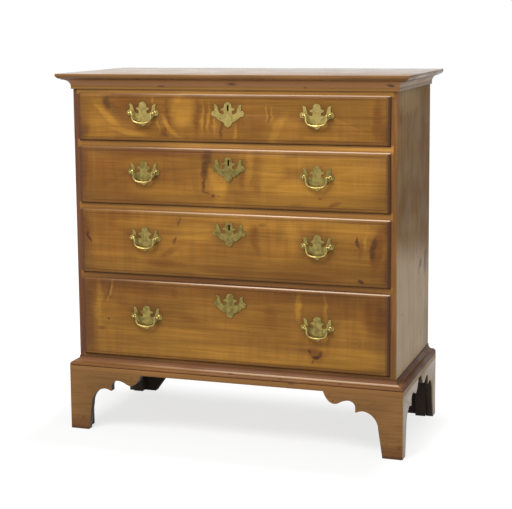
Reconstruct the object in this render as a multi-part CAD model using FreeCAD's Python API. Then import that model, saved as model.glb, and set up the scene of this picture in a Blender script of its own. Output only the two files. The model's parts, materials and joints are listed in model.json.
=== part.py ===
"""Chest of four graduated drawers in figured maple, on scrolled bracket feet.

Millimetres, +Z up. The front faces -Y. The origin is on the floor, at the middle of the plan.
"""
import FreeCAD, Part
import math
import os

Vec = FreeCAD.Vector

# Case boards
CASE_W = 900.0
CASE_D = 410.0
SIDE_T = 22.0
BOTTOM_T = 20.0
RAIL_T = 22.0
DIVIDER_D = 70.0
RUNNER_W = 30.0
BACK_T = 12.0
BACK_REBATE_W = 10.0
BACK_BOARD_COUNT = 4
BACK_BOARD_GAP = 1.0
TONGUE = 12.0
TONGUE_FLARE = 2.5
RUNNER_HOUSING = 6.0

# Heights that stack up from the floor
FOOT_H = 166.0
BASE_H = 39.0
BASE_STRIP = 8.0
LIP_SPACE = 16.0
TOP_STRIP = 11.0
COVE_H = 28.0
TOP_T = 14.0

# Moulded edges: how far each stands out, and its fillets
TOP_OVER = 37.0
TOP_EDGE_FLAT = 6.0
TOP_EDGE_ROUND = 8.0
COVE_TOP_OUT = 25.0
COVE_TOP_FILLET = 2.0
COVE_FOOT_OUT = 5.0
COVE_FOOT_FILLET = 7.0
BASE_OUT = 22.7
BASE_FASCIA = 15.0
BASE_QUIRK_H = 1.6
BASE_QUIRK_IN = 2.0
BASE_OVOLO_IN = 9.0
BASE_OVOLO_H = 9.0
BASE_SHELF = 3.5
BASE_TOP_OUT = 2.0
BASE_TOP_FILLET = 1.5
QUARTER_COS = math.cos(math.pi / 4)

# Bracket feet
BRACKET_T = 20.0
FRONT_FOOT_W = 53.5
SIDE_FOOT_W = 34.0
REAR_FOOT_W = 60.0
REAR_FOOT_SPREAD = 120.0
BLOCK = 28.0
BLOCK_LIFT = 3.0

# Scroll of a bracket: an arch, a cusp, a second arch and a lobe. Each point is its distance inwards from the
# foot and its drop below the moulding, and an arc's middle comes before its end.
BRACKET_SCROLL = (
    ((11.3, 90.0),),
    ((22.0, 61.0), (50.0, 45.0)),
    ((61.0, 46.4), (70.0, 50.0)),
    ((72.5, 50.0),),
    ((72.5, 35.0),),
    ((79.0, 24.2), (92.8, 20.0)),
    ((104.5, 22.4), (115.0, 27.2)),
    ((128.6, 31.6), (143.0, 26.5)),
    ((152.5, 15.5), (159.3, 0.0)),
)

# Drawers, from the top down: height over the lips, drop from the lip's top to the posts, lock or none
DRAWER_HEIGHTS = (128.0, 156.0, 177.0, 215.0)
PULL_DROPS = (51.0, 66.0, 74.0, 97.0)
LOCKED = (True, True, True, False)
LIP_OVER_X = 5.5
LIP_OVER_Z = 3.0
LIP_T = 8.0
LIP_EDGE = 2.5
THUMB_W = 10.5
THUMB_QUIRK = 1.0
REBATE_T = 13.0
DRAWER_WALL = 11.0
DRAWER_REAR_GAP = 12.0
DRAWER_SIDE_GAP = 1.5
DRAWER_TOP_GAP = 2.5
RUN_GAP = 0.3
TAIL_PITCH = 52.0
TAIL_PIN = 9.0
TAIL_LAP = 3.0
TAIL_SLOPE = 0.2
GROOVE_UP = 9.0
GROOVE_H = 5.0
GROOVE_IN = 5.0
PANEL_T = 9.0
PANEL_FEATHER = 28.0
PANEL_FIT = 0.2

# Brasses
PULL_X = 242.0
POST_SPACING = 70.0
PLATE_T = 1.8
TURNED_SIDES = 6
POST_SHANK_R = 2.7
POST_COLLAR_R = 4.8
POST_COLLAR_T = 1.4
POST_NECK_R = 2.4
POST_BALL_R = 4.1
POST_REACH = 10.0
NUT_W = 10.0
NUT_T = 4.0
PIN_R = 1.5
PIN_FIT = 0.06
PIN_END = 1.0
BORE_END = 1.5
BAIL_R = 2.3
BAIL_INSET = 7.6
BAIL_DROP = 27.0
BAIL_CORNER = 15.0
BAIL_BOW = math.radians(18.0)
BAIL_CORNER_STEPS = 3
BAIL_BOW_STEPS = 2
KNUCKLE = 1.6
SHOULDER_GAP = 0.35
KEYHOLE_DROP = 35.0
KEYHOLE_RISE = 15.0
KEYHOLE_R = 3.3
KEYHOLE_SLOT_W = 5.0
KEYHOLE_H = 13.0
NAIL_OUT = 4.5
NAIL_R = 0.9
NAIL_HEAD_R = 1.8
NAIL_HEAD_T = 0.8
NAIL_LEN = 9.0

# Right half of the bat-wing outline, from the crest down, about the post level. The crest and the pendant
# keep their width, and the horn and the round ear between them stay with the post.
PLATE_CREST = (0.0, 30.0)
PLATE_SHIELD = (
    (4.4, 29.2),
    (8.8, 26.0),
    (10.5, 21.5),
    (10.2, 16.6),
    (19.2, 12.8),
    (18.6, 9.6),
    (11.6, 6.4),
    (11.2, 0.8),
    (13.4, -1.6),
)
PLATE_EAR = (
    (-16.0, -1.4),
    (-10.6, 3.0),
    (-5.6, 20.8),
    (-0.6, 24.6),
    (3.4, 23.2),
    (1.4, 16.0),
    (2.0, 8.4),
    (7.6, 6.8),
    (10.6, 2.6),
    (10.4, -3.2),
    (7.2, -6.8),
    (-1.4, -8.2),
    (-8.2, -15.8),
    (-15.6, -20.2),
)
PLATE_PENDANT = (
    (13.0, -21.8),
    (10.2, -26.0),
    (8.6, -31.0),
)
PLATE_TIP = (0.0, -36.4)

# Locks
LOCK_W = 62.0
LOCK_H = 46.0
LOCK_T = 8.0
SELVAGE_T = 2.0
SELVAGE_D = 10.0
BOLT_W = 18.0
BOLT_T = 5.0
BOLT_H = 20.0
BOLT_THROW = 8.0
BOLT_FIT = 0.3
MORTISE_ROOM = 1.0

# Places worked out from the sizes above
FRONT_Y = -(CASE_D - TOP_OVER) / 2
BACK_Y = FRONT_Y + CASE_D
PANEL_BACK_Y = BACK_Y - BACK_T
HALF_W = CASE_W / 2
OPENING_HALF = HALF_W - SIDE_T
BASE_TOP_Z = FOOT_H + BASE_H
LIP_BACK_Y = FRONT_Y - RUN_GAP
FACE_Y = LIP_BACK_Y - LIP_T
DRAWER_INSIDE_Y = LIP_BACK_Y + REBATE_T
DRAWER_REAR_Y = PANEL_BACK_Y - DRAWER_REAR_GAP
DRAWER_HALF = OPENING_HALF - DRAWER_SIDE_GAP
LIP_HALF = OPENING_HALF + LIP_OVER_X
PIVOT_Y = FACE_Y - PLATE_T - POST_REACH
POST_HALF = POST_SPACING / 2
BAIL_HALF = POST_HALF - BAIL_INSET
BAIL_SHOULDER = POST_HALF - POST_BALL_R - SHOULDER_GAP


def lip_levels():
    """Bottom and top of every drawer's lip, by drawer number."""
    levels = {}
    bottom = BASE_TOP_Z + BASE_STRIP
    for number in range(len(DRAWER_HEIGHTS), 0, -1):
        top = bottom + DRAWER_HEIGHTS[number - 1]
        levels[number] = (bottom, top)
        bottom = top + LIP_SPACE
    return levels


LIPS = lip_levels()
COVE_FOOT_Z = LIPS[1][1] + TOP_STRIP
TOP_UNDER_Z = COVE_FOOT_Z + COVE_H
TOP_Z = TOP_UNDER_Z + TOP_T


def opening_of(number):
    """Bottom and top of the case opening behind a drawer's lip."""
    bottom, top = LIPS[number]
    return bottom + LIP_OVER_Z, top - LIP_OVER_Z


def box(x0, x1, y0, y1, z0, z1):
    """Box between two corners."""
    return Part.makeBox(x1 - x0, y1 - y0, z1 - z0, Vec(x0, y0, z0))


def ring(centre, across, upwards, radius):
    """Corners of a flat-sided ring about a centre, in the plane of two directions."""
    points = []
    for index in range(TURNED_SIDES):
        angle = 2 * math.pi * (index + 0.5) / TURNED_SIDES
        points.append(centre + across * (radius * math.cos(angle)) + upwards * (radius * math.sin(angle)))
    return points


def flat_face(points):
    """Face inside the straight lines through points."""
    return Part.Face(Part.makePolygon(points + points[:1]))


def faceted(rings):
    """Solid with flat faces through a row of rings."""
    faces = [flat_face(rings[0]), flat_face(rings[-1])]
    for near, far in zip(rings, rings[1:]):
        for index in range(TURNED_SIDES):
            beside = (index + 1) % TURNED_SIDES
            faces.append(flat_face([near[index], near[beside], far[beside], far[index]]))
    solid = Part.Solid(Part.Shell(faces))
    if solid.Volume < 0:
        solid.reverse()
    return solid


def bar(radius, x, z, y0, y1):
    """Flat-sided bar from front to back, for small shanks and their holes."""
    section = ring(Vec(x, y0, z), Vec(1, 0, 0), Vec(0, 0, 1), radius)
    return flat_face(section).extrude(Vec(0, y1 - y0, 0))


def mirrored(shape):
    """The same shape on the other side of the chest's middle plane."""
    return shape.mirror(Vec(0, 0, 0), Vec(1, 0, 0))


def face_of(place, start, steps):
    """Face inside a closed outline: a step is (end,) for a line or (middle, end) for an arc."""
    edges = []
    here = start
    for step in steps:
        end = step[-1]
        if len(step) == 1:
            edges.append(Part.LineSegment(place(*here), place(*end)).toShape())
        else:
            edges.append(Part.Arc(place(*here), place(*step[0]), place(*end)).toShape())
        here = end
    if here != start:
        edges.append(Part.LineSegment(place(*here), place(*start)).toShape())
    return Part.Face(Part.Wire(edges))


def polygon(place, points):
    """Face inside straight lines."""
    return face_of(place, points[0], [(point,) for point in points[1:]])


def in_plan(z):
    """Places (x, y) at one height."""
    return lambda x, y: Vec(x, y, z)


def in_front_plane(y):
    """Places (x, z) at one depth."""
    return lambda x, z: Vec(x, y, z)


def in_side_plane(x):
    """Places (y, z) at one distance across."""
    return lambda y, z: Vec(x, y, z)


def group(shapes):
    """Separate solids kept together in one node."""
    return Part.makeCompound(shapes)


def save(name, shape):
    """Write one node."""
    shape.exportStep(os.path.join("parts", name + ".step"))


# Mouldings

def mitred_runs(section, out, z0, z1):
    """Front run and right return of a moulding, from its section in (distance out, height)."""
    across = HALF_W + out
    front = face_of(lambda u, v: Vec(-across, FRONT_Y - u, v), *section).extrude(Vec(2 * across, 0, 0))
    side = face_of(lambda u, v: Vec(HALF_W + u, FRONT_Y - out, v), *section).extrude(Vec(0, CASE_D + out, 0))
    mitre = [(HALF_W, FRONT_Y), (across, FRONT_Y - out)]
    front_plan = polygon(in_plan(z0), mitre + [(-across, FRONT_Y - out), (-HALF_W, FRONT_Y)])
    side_plan = polygon(in_plan(z0), mitre + [(across, BACK_Y), (HALF_W, BACK_Y)])
    up = Vec(0, 0, z1 - z0)
    return front.common(front_plan.extrude(up)), side.common(side_plan.extrude(up))


def cove_section():
    """Cove under the top, with a fillet above and below it."""
    cove_top = TOP_UNDER_Z - COVE_TOP_FILLET
    cove_foot = COVE_FOOT_Z + COVE_FOOT_FILLET
    reach = COVE_TOP_OUT - COVE_FOOT_OUT
    middle = (COVE_TOP_OUT - reach * QUARTER_COS, cove_foot + (cove_top - cove_foot) * QUARTER_COS)
    return (0, COVE_FOOT_Z), [
        ((COVE_FOOT_OUT, COVE_FOOT_Z),),
        ((COVE_FOOT_OUT, cove_foot),),
        (middle, (COVE_TOP_OUT, cove_top)),
        ((COVE_TOP_OUT, TOP_UNDER_Z),),
        ((0, TOP_UNDER_Z),),
    ]


def base_section():
    """Base moulding: fascia, quirk, ovolo with a narrow shelf, then a cove that dies into the case."""
    fascia_top = FOOT_H + BASE_FASCIA
    ovolo_foot = fascia_top + BASE_QUIRK_H
    ovolo_out = BASE_OUT - BASE_OVOLO_IN
    ovolo_top = ovolo_foot + BASE_OVOLO_H
    cove_out = ovolo_out - BASE_SHELF
    cove_top = BASE_TOP_Z - BASE_TOP_FILLET
    ovolo_mid = (ovolo_out + BASE_OVOLO_IN * QUARTER_COS, ovolo_foot + BASE_OVOLO_H * QUARTER_COS)
    cove_mid = (cove_out - (cove_out - BASE_TOP_OUT) * QUARTER_COS,
                cove_top - (cove_top - ovolo_top) * QUARTER_COS)
    return (0, FOOT_H), [
        ((BASE_OUT, FOOT_H),),
        ((BASE_OUT, fascia_top),),
        ((BASE_OUT - BASE_QUIRK_IN, fascia_top + BASE_QUIRK_H / 2),),
        ((BASE_OUT, ovolo_foot),),
        (ovolo_mid, (ovolo_out, ovolo_top)),
        ((cove_out, ovolo_top),),
        (cove_mid, (BASE_TOP_OUT, cove_top)),
        ((BASE_TOP_OUT, BASE_TOP_Z),),
        ((0, BASE_TOP_Z),),
    ]


def top_edge(along, sign):
    """Steps down one moulded edge of the top, from its upper corner to the underside."""
    flat = TOP_Z - TOP_EDGE_FLAT
    drop = flat - TOP_UNDER_Z
    inner = along - sign * TOP_EDGE_ROUND
    middle = (inner + sign * TOP_EDGE_ROUND * QUARTER_COS, flat - drop + drop * (1 - QUARTER_COS))
    return [((along, flat),), (middle, (inner, TOP_UNDER_Z))]


def make_top():
    """Top board, with its edge rounded under on the front and both ends."""
    front = FRONT_Y - TOP_OVER
    end = HALF_W + TOP_OVER
    deep = face_of(in_side_plane(-end), (BACK_Y, TOP_UNDER_Z),
                   [((BACK_Y, TOP_Z),), ((front, TOP_Z),)] + top_edge(front, -1))
    right = top_edge(end, 1)
    left_flat = TOP_Z - TOP_EDGE_FLAT
    left_inner = -end + TOP_EDGE_ROUND
    left_mid = (-right[1][0][0], right[1][0][1])
    wide = face_of(in_front_plane(front), (-end, TOP_Z),
                   [((end, TOP_Z),)] + right
                   + [((left_inner, TOP_UNDER_Z),), (left_mid, (-end, left_flat))])
    return deep.extrude(Vec(2 * end, 0, 0)).common(wide.extrude(Vec(0, BACK_Y - front, 0)))


# Case boards

def tongued_board(y0, y1, z0, z1):
    """Board across the case whose dovetailed ends slide into the sides."""
    reach = OPENING_HALF + TONGUE
    flare = TONGUE_FLARE
    half = [
        (OPENING_HALF, z0),
        (OPENING_HALF, z0 + flare),
        (reach, z0),
        (reach, z1),
        (OPENING_HALF, z1 - flare),
        (OPENING_HALF, z1),
    ]
    other = [(-x, z) for x, z in reversed(half)]
    return polygon(in_front_plane(y0), half + other).extrude(Vec(0, y1 - y0, 0))


def make_rails():
    """Top rail and the three dividers, each divider filling the space between two openings."""
    top_rail = tongued_board(FRONT_Y, FRONT_Y + RAIL_T, opening_of(1)[1], TOP_UNDER_Z)
    dividers = []
    for upper in (1, 2, 3):
        z0 = opening_of(upper + 1)[1]
        z1 = opening_of(upper)[0]
        dividers.append(tongued_board(FRONT_Y, FRONT_Y + DIVIDER_D, z0, z1))
    return top_rail, dividers


def make_runners():
    """Right-hand runners, level with the dividers and housed in the side."""
    runners = []
    for upper in (1, 2, 3):
        z0 = opening_of(upper + 1)[1]
        z1 = opening_of(upper)[0]
        runners.append(box(OPENING_HALF - RUNNER_W, OPENING_HALF + RUNNER_HOUSING,
                           FRONT_Y + DIVIDER_D, PANEL_BACK_Y, z0, z1))
    return runners


def make_back_boards():
    """Horizontal boards in the rebates at the back of the sides."""
    half = OPENING_HALF + BACK_REBATE_W
    gaps = BACK_BOARD_GAP * (BACK_BOARD_COUNT - 1)
    height = (TOP_UNDER_Z - FOOT_H - gaps) / BACK_BOARD_COUNT
    boards = []
    for index in range(BACK_BOARD_COUNT):
        z0 = FOOT_H + index * (height + BACK_BOARD_GAP)
        boards.append(box(-half, half, PANEL_BACK_Y, BACK_Y, z0, z0 + height))
    return boards


def make_side(housed):
    """Right side of the case, housed for what runs into it and rebated for the back."""
    side = box(OPENING_HALF, HALF_W, FRONT_Y, BACK_Y, FOOT_H, TOP_UNDER_Z)
    rebate = box(OPENING_HALF, OPENING_HALF + BACK_REBATE_W, PANEL_BACK_Y, BACK_Y, FOOT_H, TOP_UNDER_Z)
    return side.cut([rebate] + housed)


# Bracket feet

def bracket_steps(foot):
    """Outline of a bracket, from its outer corner along the floor and up the scroll to the moulding."""
    scroll = []
    for step in BRACKET_SCROLL:
        scroll.append(tuple((foot + inwards, FOOT_H - drop) for inwards, drop in step))
    return [((foot, 0),)] + scroll + [((0, FOOT_H),)]


def mitre_plan(front):
    """Plan on one side of the mitre at the right front corner."""
    outer = (HALF_W + BASE_OUT, FRONT_Y - BASE_OUT)
    inner = (outer[0] - BRACKET_T, outer[1] + BRACKET_T)
    if front:
        corners = [outer, inner, (0, inner[1]), (0, outer[1])]
    else:
        corners = [outer, inner, (inner[0], BACK_Y), (outer[0], BACK_Y)]
    return polygon(in_plan(0), corners).extrude(Vec(0, 0, FOOT_H))


def make_right_brackets():
    """Front bracket, both side brackets and the plain rear bracket of the right-hand feet."""
    corner = HALF_W + BASE_OUT
    front_y = FRONT_Y - BASE_OUT
    blank = face_of(lambda u, v: Vec(corner - u, front_y, v),
                    (0, 0), bracket_steps(FRONT_FOOT_W))
    front = blank.extrude(Vec(0, BRACKET_T, 0)).common(mitre_plan(True))
    blank = face_of(lambda u, v: Vec(corner - BRACKET_T, front_y + u, v),
                    (0, 0), bracket_steps(SIDE_FOOT_W))
    side_front = blank.extrude(Vec(BRACKET_T, 0, 0)).common(mitre_plan(False))
    blank = face_of(lambda u, v: Vec(corner - BRACKET_T, BACK_Y - u, v),
                    (0, 0), bracket_steps(SIDE_FOOT_W))
    side_rear = blank.extrude(Vec(BRACKET_T, 0, 0))
    inside = corner - BRACKET_T
    rear = polygon(in_front_plane(BACK_Y - BRACKET_T), [
        (inside, 0),
        (inside, FOOT_H),
        (inside - REAR_FOOT_W - REAR_FOOT_SPREAD, FOOT_H),
        (inside - REAR_FOOT_W, 0),
    ]).extrude(Vec(0, BRACKET_T, 0))
    return front, side_front, side_rear, rear


def make_right_blocks():
    """Upright glue blocks in the corners of the right-hand feet."""
    inside = HALF_W + BASE_OUT - BRACKET_T
    front_y = FRONT_Y - BASE_OUT + BRACKET_T
    rear_y = BACK_Y - BRACKET_T
    front = box(inside - BLOCK, inside, front_y, front_y + BLOCK, BLOCK_LIFT, FOOT_H)
    rear = box(inside - BLOCK, inside, rear_y - BLOCK, rear_y, BLOCK_LIFT, FOOT_H)
    return front, rear


# Drawers

def thumbnail_section(place, low, high):
    """Section through a drawer lip: rounded edges with a small quirk inside them, in (along, depth)."""
    edge = LIP_BACK_Y - LIP_EDGE
    crown = FACE_Y + THUMB_QUIRK
    lift = edge - crown
    low_in = low + THUMB_W
    high_in = high - THUMB_W
    low_mid = (low_in - THUMB_W * QUARTER_COS, edge - lift * QUARTER_COS)
    high_mid = (high_in + THUMB_W * QUARTER_COS, edge - lift * QUARTER_COS)
    return face_of(place, (low, LIP_BACK_Y), [
        ((low, edge),),
        (low_mid, (low_in, crown)),
        ((low_in, FACE_Y),),
        ((high_in, FACE_Y),),
        ((high_in, crown),),
        (high_mid, (high, edge)),
        ((high, LIP_BACK_Y),),
    ])


def tails_between(y_root, y_end, z0, z1):
    """Dovetails on the right-hand drawer side, spreading from root to end."""
    count = max(2, round((z1 - z0) / TAIL_PITCH))
    pitch = (z1 - z0) / count
    wide = (pitch - TAIL_PIN) / 2
    narrow = wide - abs(y_end - y_root) * TAIL_SLOPE
    tails = []
    for index in range(count):
        middle = z0 + (index + 0.5) * pitch
        blank = polygon(in_side_plane(DRAWER_HALF - DRAWER_WALL), [
            (y_root, middle - narrow),
            (y_end, middle - wide),
            (y_end, middle + wide),
            (y_root, middle + narrow),
        ])
        tails.append(blank.extrude(Vec(DRAWER_WALL, 0, 0)))
    return tails


def panel_levels(number):
    """Bottom, feather and top of a drawer's bottom panel."""
    floor = opening_of(number)[0] + RUN_GAP
    top = floor + GROOVE_UP + GROOVE_H
    return top - PANEL_T, floor + GROOVE_UP, top


def keyhole(y0, y1, z):
    """Keyhole cutter: a round head over a straight slot."""
    head = bar(KEYHOLE_R, 0, z, y0, y1)
    slot = box(-KEYHOLE_SLOT_W / 2, KEYHOLE_SLOT_W / 2, y0, y1, z - KEYHOLE_H, z)
    return head.fuse(slot).removeSplitter()


def keyhole_level(number):
    """Height of the keyhole's round head."""
    return LIPS[number][1] - KEYHOLE_DROP + KEYHOLE_H / 2 - KEYHOLE_R / 2


def make_lock(number):
    """Lock let into the back of a drawer front, and its bolt, thrown upwards."""
    top = opening_of(number)[1] - DRAWER_TOP_GAP
    half = LOCK_W / 2
    case = box(-half, half, DRAWER_INSIDE_Y - LOCK_T, DRAWER_INSIDE_Y, top - LOCK_H, top)
    selvage = box(-half, half, DRAWER_INSIDE_Y - SELVAGE_D, DRAWER_INSIDE_Y, top - SELVAGE_T, top)
    middle = DRAWER_INSIDE_Y - LOCK_T / 2
    bolt = box(-BOLT_W / 2, BOLT_W / 2, middle - BOLT_T / 2, middle + BOLT_T / 2, top - BOLT_H, top)
    fit = BOLT_FIT
    slot = box(-BOLT_W / 2 - fit, BOLT_W / 2 + fit, middle - BOLT_T / 2 - fit, middle + BOLT_T / 2 + fit,
               top - BOLT_H - fit, top + 1)
    outline = case.fuse(selvage).removeSplitter()
    return outline, outline.cut(slot), bolt


def bolt_mortise(number):
    """Mortise above a lock, in the underside of the rail, for the thrown bolt."""
    top = opening_of(number)[1]
    middle = DRAWER_INSIDE_Y - LOCK_T / 2
    x = BOLT_W / 2 + MORTISE_ROOM
    y = BOLT_T / 2 + MORTISE_ROOM
    return box(-x, x, middle - y, middle + y, top - 1, top + BOLT_THROW)


def make_drawer_wood(number, pull_level, lock_outline):
    """Front, both sides, back and bottom panel of one drawer."""
    lip_low, lip_high = LIPS[number]
    low, high = opening_of(number)
    low = low + RUN_GAP
    high = high - DRAWER_TOP_GAP
    inner = DRAWER_HALF - DRAWER_WALL
    panel_low, feather, panel_top = panel_levels(number)
    back_y = DRAWER_REAR_Y - DRAWER_WALL

    plan = thumbnail_section(lambda u, v: Vec(u, v, lip_low), -LIP_HALF, LIP_HALF)
    upright = thumbnail_section(lambda u, v: Vec(-LIP_HALF, v, u), lip_low, lip_high)
    lip = plan.extrude(Vec(0, 0, lip_high - lip_low)).common(upright.extrude(Vec(2 * LIP_HALF, 0, 0)))
    body = box(-DRAWER_HALF, DRAWER_HALF, LIP_BACK_Y, DRAWER_INSIDE_Y, low, high)
    tail_end = LIP_BACK_Y + TAIL_LAP
    front_tails = tails_between(DRAWER_INSIDE_Y, tail_end, low, high)
    rear_tails = tails_between(back_y, DRAWER_REAR_Y, panel_top, high)

    groove = box(-inner, inner, DRAWER_INSIDE_Y - GROOVE_IN, DRAWER_INSIDE_Y, feather, panel_top)
    cuts = [groove] + front_tails + [mirrored(tail) for tail in front_tails]
    for x in (-PULL_X, PULL_X):
        for post_x in (x - POST_HALF, x + POST_HALF):
            cuts.append(bar(POST_SHANK_R, post_x, pull_level, FACE_Y, DRAWER_INSIDE_Y))
    if lock_outline:
        cuts.append(lock_outline)
        cuts.append(keyhole(FACE_Y, DRAWER_INSIDE_Y, keyhole_level(number)))
    front = lip.fuse(body).removeSplitter().cut(cuts)

    board = box(inner, DRAWER_HALF, DRAWER_INSIDE_Y, back_y, low, high)
    below_back = box(inner, DRAWER_HALF, back_y, DRAWER_REAR_Y, low, panel_top)
    side_groove = box(inner, inner + GROOVE_IN, DRAWER_INSIDE_Y, DRAWER_REAR_Y, feather, panel_top)
    side = board.fuse([below_back] + front_tails + rear_tails).removeSplitter().cut(side_groove)

    back = box(-DRAWER_HALF, DRAWER_HALF, back_y, DRAWER_REAR_Y, panel_top, high)
    back = back.cut(rear_tails + [mirrored(tail) for tail in rear_tails])

    edge = inner + GROOVE_IN - PANEL_FIT
    nose = DRAWER_INSIDE_Y - GROOVE_IN + PANEL_FIT
    half = [(edge, panel_top), (edge, feather), (inner, feather), (inner - PANEL_FEATHER, panel_low)]
    other = [(-x, z) for x, z in reversed(half)]
    wide = polygon(in_front_plane(nose), half + other).extrude(Vec(0, DRAWER_REAR_Y - nose, 0))
    deep = polygon(in_side_plane(-edge), [
        (nose, panel_top), (nose, feather), (DRAWER_INSIDE_Y, feather),
        (DRAWER_INSIDE_Y + PANEL_FEATHER, panel_low),
        (DRAWER_REAR_Y, panel_low), (DRAWER_REAR_Y, panel_top),
    ]).extrude(Vec(2 * edge, 0, 0))
    corner = box(inner - PANEL_FIT, edge, nose, DRAWER_INSIDE_Y, feather, panel_top)
    panel = wide.common(deep).cut([corner, mirrored(corner)])
    return front, [mirrored(side), side], back, panel


# Brasses

def bat_wing(x, z):
    """Bat-wing plate on a drawer's face, centred at x with its post level at z."""
    ear = [(POST_HALF + across, height) for across, height in PLATE_EAR]
    right = [*PLATE_SHIELD, *ear, *PLATE_PENDANT]
    left = [(-across, height) for across, height in reversed(right)]
    points = [PLATE_CREST] + right + [PLATE_TIP] + left
    outline = polygon(lambda u, v: Vec(x + u, FACE_Y, z + v), points)
    return outline.extrude(Vec(0, -PLATE_T, 0))


def make_post(x, z, outwards):
    """Ball-headed post with its square nut inside, bored from the bail's side for its pin."""
    seat = FACE_Y - PLATE_T
    sideways = Vec(1, 0, 0)
    upwards = Vec(0, 0, 1)
    slant = POST_BALL_R * QUARTER_COS
    stations = [
        (POST_COLLAR_R, 0),
        (POST_COLLAR_R, POST_COLLAR_T),
        (POST_NECK_R, 2 * POST_COLLAR_T),
        (slant, POST_REACH - slant),
        (POST_BALL_R, POST_REACH),
        (slant, POST_REACH + slant),
        (slant / 2, POST_REACH + POST_BALL_R),
    ]
    head = faceted([ring(Vec(x, seat - out, z), sideways, upwards, radius) for radius, out in stations])
    shank = bar(POST_SHANK_R, x, z, seat, DRAWER_INSIDE_Y)
    nut_end = DRAWER_INSIDE_Y + NUT_T
    nut = box(x - NUT_W / 2, x + NUT_W / 2, DRAWER_INSIDE_Y, nut_end, z - NUT_W / 2, z + NUT_W / 2)
    bore_r = (PIN_R + PIN_FIT) / math.cos(math.pi / TURNED_SIDES)
    blind_end = Vec(x + outwards * BORE_END, PIVOT_Y, z)
    mouth = Vec(-outwards * (POST_BALL_R + BORE_END), 0, 0)
    bore = flat_face(ring(blind_end, Vec(0, 1, 0), upwards, bore_r)).extrude(mouth)
    return head.fuse([shank, nut]).cut(bore)


def bail_line():
    """Right half of the bail's middle line as (across, height), from the bow's middle to the shoulder."""
    turn = math.pi / 2 - BAIL_BOW
    bow_half = BAIL_HALF - BAIL_CORNER * (1 - math.cos(turn))
    bow_r = bow_half / math.sin(BAIL_BOW)
    line = []
    for index in range(BAIL_BOW_STEPS):
        heading = BAIL_BOW * index / BAIL_BOW_STEPS
        line.append((bow_r * math.sin(heading), bow_r * (1 - math.cos(heading)) - BAIL_DROP))
    arm_foot = bow_r * (1 - math.cos(BAIL_BOW)) - BAIL_DROP + BAIL_CORNER * math.sin(turn)
    for index in range(BAIL_CORNER_STEPS + 1):
        heading = BAIL_BOW + turn * index / BAIL_CORNER_STEPS
        line.append((BAIL_HALF - BAIL_CORNER * (1 - math.sin(heading)),
                     arm_foot - BAIL_CORNER * math.cos(heading)))
    return line + [(BAIL_HALF, -KNUCKLE), (BAIL_HALF + KNUCKLE, 0), (BAIL_SHOULDER, 0)]


def make_bail(x, z):
    """Bail hanging between two posts, mitred at each bend, its pins turned out into their bores."""
    right = bail_line()
    line = [(-across, height) for across, height in reversed(right[1:])] + right
    headings = []
    for (x0, z0), (x1, z1) in zip(line, line[1:]):
        headings.append(math.atan2(z1 - z0, x1 - x0))
    arriving = headings[:1] + headings
    leaving = headings + headings[-1:]
    rings = []
    for (across, height), before, after in zip(line, arriving, leaving):
        heading = (before + after) / 2
        stretch = 1 / math.cos((after - before) / 2)
        normal = Vec(-math.sin(heading), 0, math.cos(heading)) * stretch
        rings.append(ring(Vec(x + across, PIVOT_Y, z + height), normal, Vec(0, 1, 0), BAIL_R))
    pins = []
    for sign in (-1, 1):
        root = Vec(x + sign * BAIL_SHOULDER, PIVOT_Y, z)
        pins.append(Part.makeCylinder(PIN_R, POST_HALF + PIN_END - BAIL_SHOULDER, root, Vec(sign, 0, 0)))
    return faceted(rings).fuse(pins)


def make_escutcheon(number, locked):
    """Plate at the middle of a drawer, pierced where there is a lock, and its two pins."""
    z = LIPS[number][1] - KEYHOLE_DROP - KEYHOLE_RISE
    plate = bat_wing(0, z)
    if locked:
        plate = plate.cut(keyhole(FACE_Y - PLATE_T, FACE_Y, keyhole_level(number)))
    pins = []
    for x in (-POST_HALF - NAIL_OUT, POST_HALF + NAIL_OUT):
        shank = bar(NAIL_R, x, z, FACE_Y - PLATE_T, FACE_Y - PLATE_T + NAIL_LEN)
        plate = plate.cut(shank)
        pins.append(shank.fuse(bar(NAIL_HEAD_R, x, z, FACE_Y - PLATE_T - NAIL_HEAD_T, FACE_Y - PLATE_T)))
    return plate, pins


def make_pulls(pull_level):
    """Plates and posts of one drawer's two pulls."""
    plates = []
    posts = []
    for x in (-PULL_X, PULL_X):
        plate = bat_wing(x, pull_level)
        for outwards in (-1, 1):
            post_x = x + outwards * POST_HALF
            plate = plate.cut(bar(POST_SHANK_R, post_x, pull_level, FACE_Y - PLATE_T, FACE_Y))
            posts.append(make_post(post_x, pull_level, outwards))
        plates.append(plate)
    return plates, posts


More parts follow.
